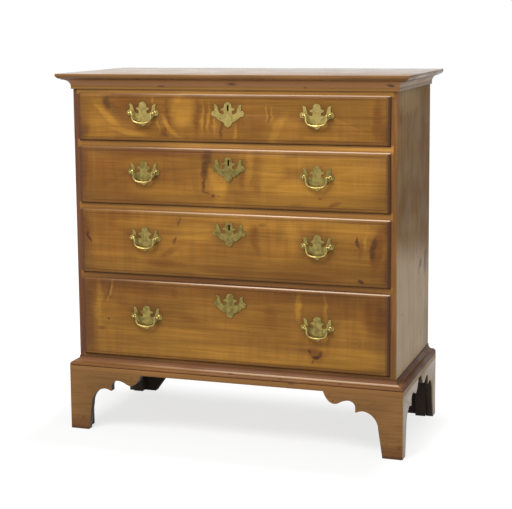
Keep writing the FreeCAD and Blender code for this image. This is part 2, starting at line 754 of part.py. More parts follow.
def build_case(mortises):
    """Write every node of the case."""
    top_rail, dividers = make_rails()
    top_rail = top_rail.cut(mortises[1])
    dividers = [dividers[0].cut(mortises[2]), dividers[1].cut(mortises[3]), dividers[2]]
    bottom_under_z = opening_of(4)[0] - BOTTOM_T
    bottom = tongued_board(FRONT_Y, PANEL_BACK_Y, bottom_under_z, opening_of(4)[0])
    runners = make_runners()
    side = make_side([top_rail, bottom] + dividers + runners)
    cove_front, cove_return = mitred_runs(cove_section(), COVE_TOP_OUT, COVE_FOOT_Z, TOP_UNDER_Z)
    base_front, base_return = mitred_runs(base_section(), BASE_OUT, FOOT_H, BASE_TOP_Z)
    front_bracket, side_front, side_rear, rear_bracket = make_right_brackets()
    front_block, rear_block = make_right_blocks()
    base_rail = box(-OPENING_HALF, OPENING_HALF, FRONT_Y, FRONT_Y + RAIL_T, FOOT_H, bottom_under_z)

    save("case_side_left", mirrored(side))
    save("case_side_right", side)
    save("top_board", make_top())
    save("cornice_front", cove_front)
    save("cornice_returns", group([mirrored(cove_return), cove_return]))
    save("top_rail", top_rail)
    save("drawer_dividers", group(dividers))
    save("drawer_runners", group([mirrored(runner) for runner in runners] + runners))
    save("bottom_board", bottom)
    save("base_rail", base_rail)
    save("back_boards", group(make_back_boards()))
    save("base_moulding_front", base_front)
    save("base_moulding_returns", group([mirrored(base_return), base_return]))
    save("front_foot_brackets", group([mirrored(front_bracket), front_bracket]))
    save("side_foot_brackets", group([mirrored(side_front), mirrored(side_rear), side_front, side_rear]))
    save("rear_foot_brackets", group([mirrored(rear_bracket), rear_bracket]))
    save("foot_glue_blocks", group([mirrored(front_block), mirrored(rear_block), front_block, rear_block]))


def build_drawer(number):
    """Write every node of one drawer."""
    name = "drawer_%d_" % number
    pull_level = LIPS[number][1] - PULL_DROPS[number - 1]
    locked = LOCKED[number - 1]
    lock_outline = None
    if locked:
        lock_outline, lock, bolt = make_lock(number)
        save(name + "lock", lock)
        save(name + "lock_bolt", bolt)
    plate, pins = make_escutcheon(number, locked)
    front, sides, back, panel = make_drawer_wood(number, pull_level, lock_outline)
    plates, posts = make_pulls(pull_level)
    save(name + "front", front.cut(pins))
    save(name + "sides", group(sides))
    save(name + "back", back)
    save(name + "bottom", panel)
    save(name + "escutcheon", group([plate] + pins))
    save(name + "pull_plates", group(plates))
    save(name + "pull_posts", group(posts))
    save(name + "bail_left", make_bail(-PULL_X, pull_level))
    save(name + "bail_right", make_bail(PULL_X, pull_level))


def main():
    """Write the whole chest."""
    os.makedirs("parts", exist_ok=True)
    build_case({number: bolt_mortise(number) for number in (1, 2, 3)})
    for number in LIPS:
        build_drawer(number)


main()
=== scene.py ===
"""Dresses a maple chest of drawers: figured fronts, pine linings, bat-wing brasses, iron locks and the stage.

Metres, in the chest's own frame: the front faces -Y, +X is to the right and +Z is up.
"""
import json
import math

import bpy
from bpy.props import FloatProperty, FloatVectorProperty, PointerProperty
from mathutils import Euler, Matrix, Vector


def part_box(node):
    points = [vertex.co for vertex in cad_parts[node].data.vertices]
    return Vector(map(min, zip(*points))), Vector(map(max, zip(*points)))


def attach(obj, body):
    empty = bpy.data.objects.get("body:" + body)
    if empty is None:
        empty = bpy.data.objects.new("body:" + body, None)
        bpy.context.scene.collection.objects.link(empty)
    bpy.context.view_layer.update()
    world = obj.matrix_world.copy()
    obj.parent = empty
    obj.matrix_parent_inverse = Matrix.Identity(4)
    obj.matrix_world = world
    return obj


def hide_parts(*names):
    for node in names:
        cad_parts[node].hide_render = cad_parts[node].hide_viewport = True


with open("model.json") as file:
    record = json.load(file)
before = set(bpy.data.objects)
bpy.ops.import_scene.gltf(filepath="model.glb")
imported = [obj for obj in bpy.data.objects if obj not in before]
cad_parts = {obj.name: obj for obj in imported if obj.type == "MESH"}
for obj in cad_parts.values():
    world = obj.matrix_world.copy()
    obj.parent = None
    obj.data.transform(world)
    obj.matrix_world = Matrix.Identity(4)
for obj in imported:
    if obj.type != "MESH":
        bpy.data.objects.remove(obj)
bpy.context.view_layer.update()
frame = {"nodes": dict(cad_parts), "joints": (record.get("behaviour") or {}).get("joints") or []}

bl_info = {
    "name": "Maple chest of drawers",
    "version": (1, 0, 0),
    "blender": (4, 5, 0),
    "location": "3D View > Sidebar > Chest",
    "description": "Figured maple, pine linings, brasses, locks and a stage for a chest of four drawers",
    "category": "Object",
}

# Places read from the chest
DRAWERS = (1, 2, 3, 4)
LOCKED_DRAWERS = (1, 2, 3)
BRIGHT_DRAWER = 1
PULL_SIDES = ("left", "right")
FACE_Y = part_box("drawer_1_front")[0].y
INSIDE_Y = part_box("drawer_1_front")[1].y
PLATE_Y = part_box("drawer_1_pull_plates")[0].y
STILE_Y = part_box("case_side_right")[0].y
CASE_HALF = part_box("case_side_right")[1].x
TOP_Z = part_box("top_board")[1].z
BACK_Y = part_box("back_boards")[1].y
BACK_BOARDS = 4
JOINTS = {joint["name"]: joint for joint in frame["joints"]}

MM = 0.001
NOWHERE = (0.0, 0.0, 0.0)
ON_THE_FACE = (1.0, 0.0, 1.0)
FLOAT = "NodeSocketFloat"
VECTOR = "NodeSocketVector"
MIDDLE_GREY = (0.5, 0.5, 0.5)
WHITE = (1.0, 1.0, 1.0, 1.0)

# Sockets of a Mix node that mixes colours
MIX_FACTOR = 0
MIX_FIRST = 6
MIX_SECOND = 7
MIX_RESULT = 2

# Which way the grain runs: the turn that lays it along X. Each drawer front has its own part of the log.
ALONG_X = (0.0, 0.0, 0.0)
ALONG_Y = (0.0, 0.0, -math.pi / 2)
ALONG_Z = (0.0, math.pi / 2, 0.0)
DRAWER_SHIFT = 1.7

# Noise for a mask: features in a metre along X, Y and Z, detail, distortion, and the levels where the mask
# begins and is whole
GRAIN_LAYERS = {
    "Fibre": ((7.0, 420.0, 420.0), 4.0, 0.2, 0.32, 0.68),
    "Streak": ((3.0, 105.0, 105.0), 3.0, 0.5, 0.36, 0.66),
    "Broad": ((4.0, 9.0, 9.0), 2.0, 0.4, 0.38, 0.62),
    "Ripple": ((44.0, 4.0, 4.0), 3.0, 0.8, 0.36, 0.64),
}
PATINA_LAYERS = {
    "Cloud": ((85.0, 85.0, 85.0), 4.0, 0.5, 0.36, 0.66),
    "Speck": ((620.0, 620.0, 620.0), 2.0, 0.0, 0.58, 0.72),
    "Rub": ((180.0, 180.0, 1400.0), 2.0, 0.0, 0.35, 0.65),
}
VARNISH_CLOUD = ((11.0, 11.0, 11.0), 4.0, 0.0, 0.35, 0.65)
VARNISH_DENTS = ((150.0, 150.0, 150.0), 2.0, 0.0, 0.66, 0.78)
VARNISH_GRIT = ((420.0, 420.0, 420.0), 2.0, 0.0, 0.64, 0.72)
FOOT_BLOTCHES = ((38.0, 38.0, 46.0), 3.0, 0.4, 0.58, 0.72)

# Noise that moves a place about: features in a metre along X, Y and Z, detail, and the reach of the move
RING_WANDER = ((1.5, 4.0, 4.0), 2.0, (0.0, 0.06, 0.06))
END_WANDER = ((45.0, 45.0, 30.0), 3.0, (0.05, 0.0, 0.06))
FIGURE_WANDERS = (
    ((9.0, 9.0, 12.0), 2.0, (0.026, 0.0, 0.018)),
    ((34.0, 34.0, 70.0), 2.0, (0.014, 0.0, 0.005)),
)

# Growth rings: how many there are in a metre, how fast the log tapers, where its heart lies from the grain,
# and where a ring begins and is whole on its wave, then the shades of dark grain and of fibres
RINGS_PER_METRE = 130.0
RING_TAPER = 0.05
HEART = (0.0, 0.07, -0.16)
RING_EDGE = (-0.1, 0.95)
GRAIN_DARK = 0.6
PLAIN_FIBRES = (0.88, 1.12)

# Varnish: how much clouds and fibres roughen it, and how far fibres stand up and dents go down
CLOUD_ROUGH = 0.14
FIBRE_ROUGH = 0.07
FIBRE_HEIGHT = 0.35
DENT_HEIGHT = -0.6

# Drawer fronts: the ground's two shades, its brown streaks, how ripples grow over the broad zones, the shades
# of ripples and fibres, and the shade of the inside
GROUND_SHADES = (0.84, 1.16)
FRONT_STREAK = 0.38
RIPPLED = (0.2, 0.9, 0.35, 1.0)
RIPPLE_SHADES = (1.05, 0.93)
FRONT_FIBRES = (0.91, 1.09)
INSIDE_SHADE = 0.8

# Top: the shade of its edge and the gloss above. Feet: the strength of their blotches.
TOP_EDGE_SHADE = 0.9
TOP_GLOSS = 0.6
FOOT_BLOTCH = 0.55

# Metals: strengths of tarnish, specks and rust, and how far clouds and rubbing roughen or raise the brass
BRASS_TARNISH = 0.7
BRASS_SPECKS = 0.6
BRASS_CLOUD_ROUGH = 0.16
BRASS_RUB_ROUGH = 0.08
BRASS_RUB_HEIGHT = 0.4
IRON_RUST = 0.6

# Pine: its streaks, clouds and rings, then its dullness and shine
PINE_GRAIN = (0.35, 0.4, 0.7)
PINE_SHINE = (0.66, 0.2)

# Masks in from a drawer front's edges, each whole up to one distance and gone at the next
LIP_MASKS = {
    "Ends": (0.0040, 0.0125),
    "Sides": (0.0100, 0.0550),
    "Edges": (0.0095, 0.0125),
    "Quirk": (0.0003, 0.0016),
    "Crest": (0.0006, 0.0031),
    "Foot": (0.0012, 0.0038),
}
QUIRK_IN = 0.0107
# Dirt and painted shade on those masks, to the left and to the right, and the places between which one turns
# into the other
LIP_DIRT_AND_SHADE = {"Ends": (0.85, 0.95), "Edges": (0.25, 0.25), "Sides": (0.32, 0.16), "Quirk": (0.45, 0.45)}
LIP_DIRT_AND_SHADE_TURNS = (-0.2, 0.2)
# Strength of the painted shadow along the foot of each drawer, under its lip
FOOT_SHADOW = 0.85

# Depths behind a face where its own finish ends and where the one behind it is whole
TOP_SKIN = (0.0004, 0.0016)
FOOT_SKIN = (0.0015, 0.0035)
END_SKIN = (0.002, 0.004)
EDGE_SKIN = (0.0008, 0.0022)
LIP_SKIN = (0.0085, 0.0105)

# Painted reflection of the white floor on the low part of a case end, where its gloss grows too: its strength
# and gloss, the heights where it begins to fade and is gone, and its slant and wandering
PAINTED_REFLECTION = 0.85
LOW_GLOSS = 0.42
LOW_SHEEN_LINE = (0.495, 0.605)
LOW_SHEEN_SLANT = 0.19
LOW_SHEEN_NOISE = ((5.0, 5.0, 7.0), 2.0)
LOW_SHEEN_WANDER = 0.08

# Painted highlight on the arrises: where it starts to grow from left to right, where it is whole, and its
# least
HIGHLIGHT_BETWEEN = (-0.42, 0.16)
HIGHLIGHT_LEAST = 0.06

# Shares of its half size within which a figure mark or a band is whole, and past which it is gone
MARK_EDGE = (0.35, 1.2)
BAND_EDGE = (0.4, 1.2)

# Dirt and painted shade round the brasses, as half sizes in millimetres and a strength
GRIME_AND_SHADE_HALF = (58, 42)
GRIME_AND_SHADE = 0.4
# Nails of the back: how far they stand from its ends in millimetres, their shares of a board's height, and
# the sizes, turn, sag and strength of the marks of their rust and their heads
NAIL_INSET = 12.0
NAIL_SHARES = (0.2, 0.8)
NAIL_RUST = (14, 11, 20, 0, 0.7)
NAIL_HEAD = (4.5, 4.5, 0, 0, 1.0)

# Round bars: their sides, the steps of a bail's curves, the step at its shoulders and the bow's swollen share
BAIL_SIDES = 16
POST_SIDES = 24
BOW_STEPS = 4
CORNER_STEPS = 8
KNUCKLE_STEPS = 4
SHOULDER_STEP = 0.0004
SWELL_SHARE = 0.8
# A post's turning: shares of a radius and of the collar's height, then the ball's angles
COLLAR_TURNING = ((1.0, 0.6), (0.9, 1.0))
NECK_TURNING = ((1.15, 1.3), (1.0, 2.2))
BALL_TURNING = (40, 55, 70, 90, 110, 130, 148, 164)
# A nut's chamfer, filed edges and shank, as shares of its width and its height
NUT_CHAMFER = 0.12
NUT_FILED = 0.05
NUT_SHANK = 0.3

# Distances that count as none, steps across a bevel, how much of a normal faces one way, and angles that
# count as flat, as sharp and as smooth
MERGE = 1e-6
ON_PLANE = 1e-5
BEVEL_STEPS = 2
FACING = 0.5
FLAT = math.radians(1.0)
SHARP = math.radians(25.0)
SMOOTH_BEVEL = math.radians(30.0)
SMOOTH_POST = math.radians(35.0)
SMOOTH_BAIL = math.radians(40.0)

# Softboxes: width and depth, place and aim
KEY_LIGHT = ((1.5, 1.2), (-0.6, -1.9, 2.8), (0.0, -0.2, 0.5))
FILL_LIGHT = ((1.8, 1.8), (2.4, -2.6, 1.5), (0.2, 0.0, 0.5))
SENSOR_WIDTH = 36.0
# Floor: its size, the greys that the camera and the chest meet, and the painted shadow about the chest's
# foot, where its glow is lowered
FLOOR_SIZE = 16.0
FLOOR_SEEN = (0.18, 0.18, 0.18, 1.0)
FLOOR_LIT = (0.75, 0.75, 0.75, 1.0)
SHADE_MIDDLE = (-0.07, -0.10, 0.0)
SHADE_REACH = 0.24
SHADE_LEVEL = 0.73

# Figure of each drawer front, in millimetres on its face. A mark is its tone, the place of its middle, its
# half length and half width, the angle that its right end rises, how far its ends sag, and its strength. The
# tones are laid on in this order.
TONES = ("pale", "brown", "gold", "red", "dark")
FIGURE = {
    1: (
        ("brown", -285, 914, 84, 42, -34, 0, 0.75),
        ("dark", -322, 892, 60, 15, -46, -8, 0.4),
        ("dark", -346, 914, 26, 13, -74, -3, 0.75),
        ("gold", -346, 876, 56, 11, -42, -8, 0.7),
        ("gold", -380, 858, 50, 34, -20, 0, 0.35),
        ("gold", -288, 836, 66, 10, -12, 0, 0.7),
        ("gold", -214, 920, 14, 5, 88, 0, 0.6),
        ("gold", -200, 855, 27, 3, -75, 0, 0.6),
        ("red", -182, 834, 18, 10, 60, 0, 0.8),
        ("dark", -175, 826, 11, 6, 0, 0, 0.6),
        ("gold", -166, 846, 46, 8, -48, -10, 0.7),
        ("brown", -169, 874, 42, 8, -78, -7, 0.9),
        ("brown", -173, 914, 20, 6, 80, 0, 0.7),
        ("gold", -140, 905, 42, 22, 80, 0, 0.75),
        ("gold", -122, 887, 46, 32, 75, 0, 0.9),
        ("brown", -87, 874, 62, 9, 90, 0, 0.8),
        ("gold", -73, 880, 46, 4, 90, 0, 0.6),
        ("brown", -65, 868, 54, 4, 90, 0, 0.6),
        ("gold", -57, 878, 44, 4, 90, 0, 0.6),
        ("brown", -48, 866, 50, 4, 90, 0, 0.6),
        ("gold", -39, 866, 42, 4, 90, 0, 0.6),
        ("dark", -21, 842, 30, 6, 88, 0, 0.6),
        ("gold", 20, 838, 26, 6, 90, 0, 0.6),
        ("brown", 70, 858, 52, 34, 0, 0, 0.5),
        ("gold", 104, 888, 26, 3, 90, 0, 0.6),
        ("dark", 111, 880, 22, 2, 90, 0, 0.5),
        ("gold", 118, 886, 28, 3, 90, 0, 0.5),
        ("gold", 132, 848, 54, 17, 66, 8, 0.6),
        ("gold", 150, 846, 60, 32, 12, 0, 0.25),
        ("brown", 404, 872, 62, 17, 90, 0, 0.7),
        ("brown", 424, 840, 34, 26, 90, 0, 0.6),
        ("brown", -424, 840, 40, 28, 70, 0, 0.7),
        ("dark", -428, 830, 34, 20, 20, 0, 0.3),
    ),
    2: (
        ("brown", -270, 715, 230, 110, 0, 0, 0.6),
        ("brown", -428, 735, 84, 32, 90, 0, 0.95),
        ("brown", -210, 780, 230, 18, 0, 0, 0.85),
        ("dark", -260, 784, 230, 18, 0, 0, 0.22),
        ("gold", -245, 745, 74, 22, 4, 0, 0.4),
        ("gold", -185, 672, 120, 30, -3, 0, 0.42),
        ("dark", -61, 774, 30, 17, 90, 0, 0.75),
        ("dark", -66, 740, 38, 11, 85, 0, 0.8),
        ("dark", -71, 704, 32, 6, 88, 0, 0.7),
        ("dark", -48, 670, 6, 5, 0, 0, 1.0),
        ("dark", -66, 678, 12, 3, -20, 0, 0.7),
        ("dark", -31, 669, 7, 2, 0, 0, 0.6),
        ("gold", -30, 700, 62, 27, 95, 0, 0.9),
        ("brown", 42, 728, 46, 14, 85, 0, 0.5),
        ("gold", 56, 742, 56, 14, 85, 0, 0.5),
        ("gold", 118, 742, 70, 44, 70, 0, 0.7),
        ("gold", 210, 762, 100, 20, 0, 0, 0.6),
        ("gold", 220, 664, 250, 18, 0, 0, 0.65),
        ("brown", 84, 706, 44, 13, 80, 0, 0.6),
        ("gold", 190, 692, 120, 38, 5, 0, 0.8),
        ("gold", 312, 720, 140, 78, 0, 0, 0.65),
        ("dark", 252, 673, 9, 3, 0, 0, 0.7),
        ("red", 289, 657, 22, 8, 20, 0, 0.6),
    ),
    3: (
        ("brown", -330, 560, 110, 60, -10, 0, 0.5),
        ("brown", -428, 556, 84, 30, 90, 0, 0.8),
        ("gold", -270, 590, 70, 16, 0, 0, 0.35),
        ("gold", 120, 606, 300, 17, 0, 0, 0.6),
        ("gold", 322, 590, 86, 26, -4, 0, 0.65),
        ("brown", 430, 490, 46, 24, 90, 0, 0.7),
        ("brown", 428, 600, 30, 22, 90, 0, 0.8),
        ("brown", -330, 606, 120, 16, 0, 0, 0.7),
        ("dark", -413, 545, 20, 4, -70, -4, 1.0),
        ("red", -421, 578, 32, 6, 90, 0, 0.5),
        ("dark", -140, 600, 14, 5, 80, 0, 0.6),
        ("dark", -158, 545, 15, 6, 70, 0, 0.7),
        ("brown", -172, 512, 30, 12, 30, 0, 0.6),
        ("brown", -184, 482, 64, 13, -4, 0, 0.6),
        ("brown", -16, 470, 95, 14, -3, 0, 0.5),
        ("gold", -90, 570, 74, 34, 0, 0, 0.6),
        ("gold", 48, 590, 34, 14, 70, 0, 0.7),
        ("brown", 76, 558, 56, 14, 95, 6, 0.7),
        ("dark", 95, 596, 12, 8, 0, 0, 0.4),
        ("gold", 172, 588, 70, 24, 100, 0, 0.6),
        ("gold", 282, 596, 34, 10, 90, 0, 0.6),
        ("brown", 195, 461, 120, 16, 0, 0, 0.6),
        ("dark", 347, 560, 18, 5, 100, 0, 0.9),
        ("brown", 354, 538, 28, 6, 80, 0, 0.5),
        ("brown", 402, 546, 76, 18, 78, 0, 0.9),
        ("dark", 389, 545, 40, 9, 77, 4, 0.9),
        ("dark", 358, 461, 14, 5, -20, 0, 0.9),
        ("gold", 370, 575, 46, 6, 84, 0, 0.6),
    ),
    # On drawer 4 the long brown and dark marks along its top, strongest just under its lip, are painted
    # shade, and the wide gold marks low down make it lighter towards the bottom
    4: (
        ("gold", -385, 356, 84, 11, 90, 0, 0.55),
        ("gold", -350, 400, 52, 4, 72, 0, 0.6),
        ("dark", -357, 396, 40, 3, 72, 0, 0.7),
        ("brown", -420, 326, 120, 22, 90, 0, 0.85),
        ("dark", -381, 290, 12, 7, 0, 0, 0.6),
        ("dark", -353, 318, 5, 3, 0, 0, 0.8),
        ("brown", -300, 380, 120, 40, -6, 0, 0.5),
        ("brown", -310, 410, 190, 30, -2, 0, 0.85),
        ("brown", 130, 412, 360, 28, 0, 0, 0.75),
        ("brown", 340, 388, 120, 30, 0, 0, 0.6),
        ("red", -160, 402, 22, 12, 90, 0, 0.4),
        ("brown", -70, 406, 66, 13, -3, 0, 0.5),
        ("brown", -116, 333, 34, 10, 0, 0, 0.5),
        ("brown", 112, 350, 46, 22, 90, 0, 0.5),
        ("gold", 189, 382, 44, 9, 90, 0, 0.9),
        ("gold", 262, 360, 76, 6, 92, 0, 0.5),
        ("brown", 240, 406, 44, 16, -10, 0, 0.7),
        ("brown", 402, 370, 74, 46, -50, 0, 0.95),
        ("dark", 424, 372, 44, 24, -60, 0, 0.22),
        ("dark", -400, 398, 64, 34, -10, 0, 0.25),
        ("dark", -300, 416, 170, 15, 0, 0, 0.3),
        ("dark", 300, 412, 220, 22, 0, 0, 0.26),
        ("dark", 221, 264, 9, 5, -60, 0, 1.0),
        ("dark", 239, 251, 17, 6, 8, -6, 1.0),
        ("dark", 252, 259, 12, 5, 70, 0, 0.8),
        ("dark", 227, 239, 9, 4, 60, 0, 0.7),
        ("red", 238, 258, 30, 22, -20, 0, 0.5),
        ("brown", 228, 257, 46, 22, -20, 0, 0.6),
        ("gold", 350, 260, 120, 34, 0, 0, 0.8),
        ("gold", 60, 242, 400, 26, 0, 0, 0.75),
        ("gold", -170, 286, 210, 28, 0, 0, 0.5),
    ),
}

# Knots on the right-hand case end, marked in the same way along its depth, and shades on both ends
END_KNOTS = (
    ("dark", 174, 452, 38, 26, 84, 0, 0.8),
    ("dark", 106, 457, 18, 15, 70, 0, 1.0),
    ("dark", 80, 444, 16, 12, 80, 0, 0.8),
    ("dark", 112, 376, 8, 6, 80, 0, 0.6),
    ("dark", 123, 263, 10, 6, 80, 0, 0.6),
    ("dark", -122, 366, 9, 5, 80, 0, 0.5),
    ("dark", 3, 838, 22, 8, 88, 0, 0.5),
    ("dark", -147, 873, 18, 7, 90, 0, 0.4),
)
END_SHADES = (
    ("brown", 60, 560, 120, 14, 90, 0, 0.5),
    ("brown", -60, 800, 150, 12, 90, 0, 0.4),
    ("brown", 150, 760, 230, 64, 90, 0, 0.35),
    ("brown", -10, 655, 230, 56, 0, 0, 0.35),
    ("brown", 205, 270, 100, 60, 90, 0, 0.5),
    ("pale", -40, 918, 130, 42, 0, 0, 0.6),
)

# Knots on the fronts of the cornice and the base moulding, marked as a drawer front is
CORNICE_KNOTS = (
    ("dark", 11, 964, 9, 3, 0, 0, 0.9),
    ("red", 11, 964, 22, 6, 0, 0, 0.6),
    ("dark", 210, 956, 6, 2, 0, 0, 0.9),
    ("dark", 434, 963, 13, 4, -8, 0, 0.9),
    ("red", -189, 957, 14, 3, 0, 0, 0.8),
)
BASE_KNOTS = (
    ("dark", 144, 188, 9, 2, 0, 0, 0.8),
    ("dark", 172, 179, 12, 3, 0, 0, 0.8),
    ("dark", 1, 190, 10, 2, 0, 0, 0.7),
    ("dark", 305, 188, 8, 2, 0, 0, 0.7),
    ("brown", -114, 196, 60, 5, 0, 0, 0.6),
    ("brown", 240, 184, 50, 5, 0, 0, 0.6),
)

# Bands along a moulding: the height of the middle above the moulding's foot and the half width, in
# millimetres, then the strength and the tone
# On the cornice the dark lines at its foot and under the top's edge are dark joints and painted shade under
# the overhangs, and the cove band is painted light that lifts the hollow's shade
CORNICE_BANDS = (
    (4.0, 12.0, 0.5, "gold"),
    (0.0, 1.0, 0.8, "dark"),
    (7.4, 1.1, 0.25, "dark"),
    (17.0, 9.0, 0.8, "cove"),
    (27.2, 1.4, 0.35, "dark"),
)
CORNICE_RETURN_BANDS = (
    (0.0, 1.0, 0.8, "dark"),
    (7.4, 1.1, 0.5, "dark"),
    (14.0, 3.0, 0.5, "pale"),
    (26.0, 5.0, 0.5, "brown"),
)
# On the base moulding the rubbed line is a painted highlight, the reddish-brown cove above it is painted
# shade, and the top dark line is a dark joint and the painted shade under the lowest drawer's lip
BASE_BANDS = (
    (7.0, 8.5, 0.7, "foot"),
    (15.8, 1.2, 0.9, "dark"),
    (18.0, 1.8, 0.5, "red"),
    (20.0, 0.8, 0.4, "dark"),
    (23.0, 3.0, 0.6, "brown"),
    (26.4, 1.3, 0.7, "worn"),
    (33.0, 6.0, 0.85, "red_stile"),
    (38.4, 1.3, 0.8, "dark"),
)
BASE_RETURN_BANDS = (
    (7.0, 8.5, 0.5, "pale"),
    (15.8, 1.2, 0.9, "dark"),
    (26.4, 1.3, 0.4, "moulding"),
    (38.4, 1.3, 0.8, "dark"),
)
FOOT_BANDS = (
    (0.0, 40.0, 0.5, "red"),
    (0.0, 9.0, 0.6, "dark"),
)

# Mouldings: the node, the finish, its colour, the way of its grain, its bands and knots, its dullness and
# shine, and its share of a soft arris
MOULDINGS = (
    ("cornice_front", "cornice", "moulding", ALONG_X, CORNICE_BANDS, CORNICE_KNOTS, 0.36, 0.25, 1.0),
    ("cornice_returns", "cornice returns", "end", ALONG_Y, CORNICE_RETURN_BANDS, (), 0.36, 0.3, 1.0),
    ("base_moulding_front", "base moulding", "moulding", ALONG_X, BASE_BANDS, BASE_KNOTS, 0.38, 0.15, 0.5),
    ("base_moulding_returns", "base returns", "red_stile", ALONG_Y, BASE_RETURN_BANDS, (), 0.38, 0.1, 0.5),
)
# Feet: the node, the finish, its colour, the way of its grain, the axis that it faces and its gloss
FEET = (
    ("front_foot_brackets", "maple front feet", "foot", ALONG_X, "Y", 0.0),
    ("side_foot_brackets", "maple side feet", "end", ALONG_Y, "X", 0.7),
)

# Painted shade on the divider under each drawer: the tone, the middle and the half length in millimetres,
# and the strength. All have one half width.
DIVIDER_SHADES = {
    1: (("brown", -340, 230, 0.5),),
    2: (("brown", -340, 230, 0.5), ("brown", 300, 330, 0.5)),
    3: (("brown", 0, 700, 0.95), ("dark", 0, 700, 0.3)),
}
DIVIDER_HALF = 18
# Painted shadow on the divider under each drawer, just above the lip of the drawer below, with its half sizes
LIP_GAP_SHADOW = {1: 0.3, 2: 0.2, 3: 0.8}
GAP_SHADOW_RISE = 1
GAP_SHADOW_HALF = (700, 4)


# Settings

def colour_property(name, description, default):
    """A colour that a user may change."""
    return FloatVectorProperty(name=name, description=description, default=default,
                               subtype="COLOR", size=3, min=0.0, max=1.0)


def length_property(name, description, default):
    """A length that a user may change."""
    return FloatProperty(name=name, description=description, default=default, unit="LENGTH", precision=4)


def angle_property(name, description, default):
    """An angle that a user may change."""
    return FloatProperty(name=name, description=description, default=default, subtype="ANGLE")


def power_property(name, description, default):
    """A light's power that a user may change."""
    return FloatProperty(name=name, description=description, default=default, unit="POWER")


class MapleColours(bpy.types.PropertyGroup):
    """Colours of the varnished maple and the bare woods."""
    amber: colour_property("Amber", "Ground colour of the drawer fronts", (0.184, 0.0835, 0.0145))
    gold: colour_property("Gold", "Bright figure of the drawer fronts", (0.288, 0.138, 0.021))
    brown: colour_property("Brown", "Darker figure of the drawer fronts", (0.108, 0.0385, 0.008))
    red: colour_property("Red", "Reddish streaks of the drawer fronts", (0.090, 0.026, 0.007))
    dark: colour_property("Dark", "Knots and dark streaks", (0.040, 0.016, 0.008))
    # The colour of the darkened varnish and painted shade on the drawers' lips, in their quirks and in from
    # their ends
    lip: colour_property("Lip", "Darkened varnish on the drawers' lips", (0.056, 0.024, 0.013))
    # The colour of the painted shadow along the foot of each drawer, under its lip
    foot_shadow: colour_property("Foot line", "Dirt along the foot of each drawer", (0.016, 0.007, 0.004))
    # The colour of the painted highlight on the arrises of the drawers' top lips and of a line along the base
    # moulding
    worn: colour_property("Worn", "Rubbed arrises of the drawers' lips", (0.610, 0.445, 0.310))
    rail: colour_property("Rail", "Rails", (0.325, 0.156, 0.034))
    stile: colour_property("Stile", "Front edge of the right case end", (0.180, 0.078, 0.022))
    red_stile: colour_property("Red stile", "Front edge of the left case end", (0.122, 0.049, 0.022))
    moulding: colour_property("Moulding", "Cornice and base moulding", (0.225, 0.102, 0.028))
    # The colour of the painted light laid along the cornice's hollow, lifting its shade
    cove: colour_property("Cove", "Rubbed hollow of the cornice", (0.310, 0.142, 0.056))
    foot: colour_property("Foot", "Bracket feet", (0.184, 0.088, 0.026))
    end: colour_property("End", "Dull outer faces of the case ends", (0.225, 0.128, 0.046))
    top: colour_property("Top", "Top board", (0.230, 0.125, 0.052))
    pine: colour_property("Pine", "Linings of the drawers", (0.460, 0.285, 0.125))
    back: colour_property("Back", "Browned pine of the back", (0.190, 0.115, 0.060))
    # The colour of the painted reflection of the white floor on the low part of each case end, also laid in
    # some marks and bands
    pale: colour_property("Pale", "Bleached wood of the case ends", (0.345, 0.232, 0.104))
    # The near-black colour of the pine under the case and of the feet's faces other than their outer ones
    near_black: colour_property("Soot", "Blackened pine under the case", (0.030, 0.021, 0.014))


class MetalColours(bpy.types.PropertyGroup):
    """Colours of the brasses and the locks."""
    bright: colour_property("Bright brass", "Rubbed brass on the high places", (0.560, 0.430, 0.150))
    olive: colour_property("Olive brass", "Dull brass of the plates", (0.345, 0.268, 0.080))
    tarnish: colour_property("Tarnish", "Dark tarnish in the brasses", (0.125, 0.094, 0.032))
    iron: colour_property("Iron", "Blackened iron of the locks", (0.090, 0.085, 0.080))
    rust: colour_property("Rust", "Rust on the locks", (0.150, 0.062, 0.030))


class FittingSizes(bpy.types.PropertyGroup):
    """Sizes of the turned and cast fittings."""
    post_half: length_property("Post half spacing", "Half the distance between a pull's posts", 0.035)
    bail_radius: length_property("Bail radius", "Half the thickness of a bail", 0.0023)
    bail_half: length_property("Bail half width", "From a bail's middle to its arms", 0.0274)
    bail_drop: length_property("Bail drop", "From the pins to the middle of the bow", 0.027)
    bail_corner: length_property("Bail corner", "Radius of a bail's lower corners", 0.015)
    bail_bow: angle_property("Bail bow", "Rise of the bow at each end", math.radians(18.0))
    bail_swell: length_property("Bail swell", "Extra thickness in the middle of the bow", 0.0003)
    knuckle: length_property("Knuckle", "Radius where an arm turns into its pin", 0.0016)
    pin_radius: length_property("Pin radius", "Half the thickness of a bail's pins", 0.0015)
    pin_end: length_property("Pin end", "How far a pin passes the middle of its post", 0.001)
    ball_radius: length_property("Ball radius", "Radius of a post's ball head", 0.0041)
    collar_radius: length_property("Collar radius", "Radius of a post's collar", 0.0048)
    collar_height: length_property("Collar height", "Height of a post's collar", 0.0014)
    neck_radius: length_property("Neck radius", "Radius of a post's neck", 0.0024)
    nut_width: length_property("Nut width", "Width of the square nuts", 0.010)
    nut_height: length_property("Nut height", "Thickness of the square nuts", 0.004)
    plate_bevel: length_property("Plate bevel", "Filed bevel round a plate's front", 0.0006)
    plate_corner: length_property("Plate corner", "Rounding of the corners in a plate's outline", 0.0009)
    soft_arris: length_property("Soft arris", "Wear on the arrises of the case and the lips", 0.0006)
    nosing_depth: length_property("Nosing depth", "How far the round under the top's edge runs in", 0.012)
    nosing_height: length_property("Nosing height", "How high the round under the top's edge rises", 0.0105)


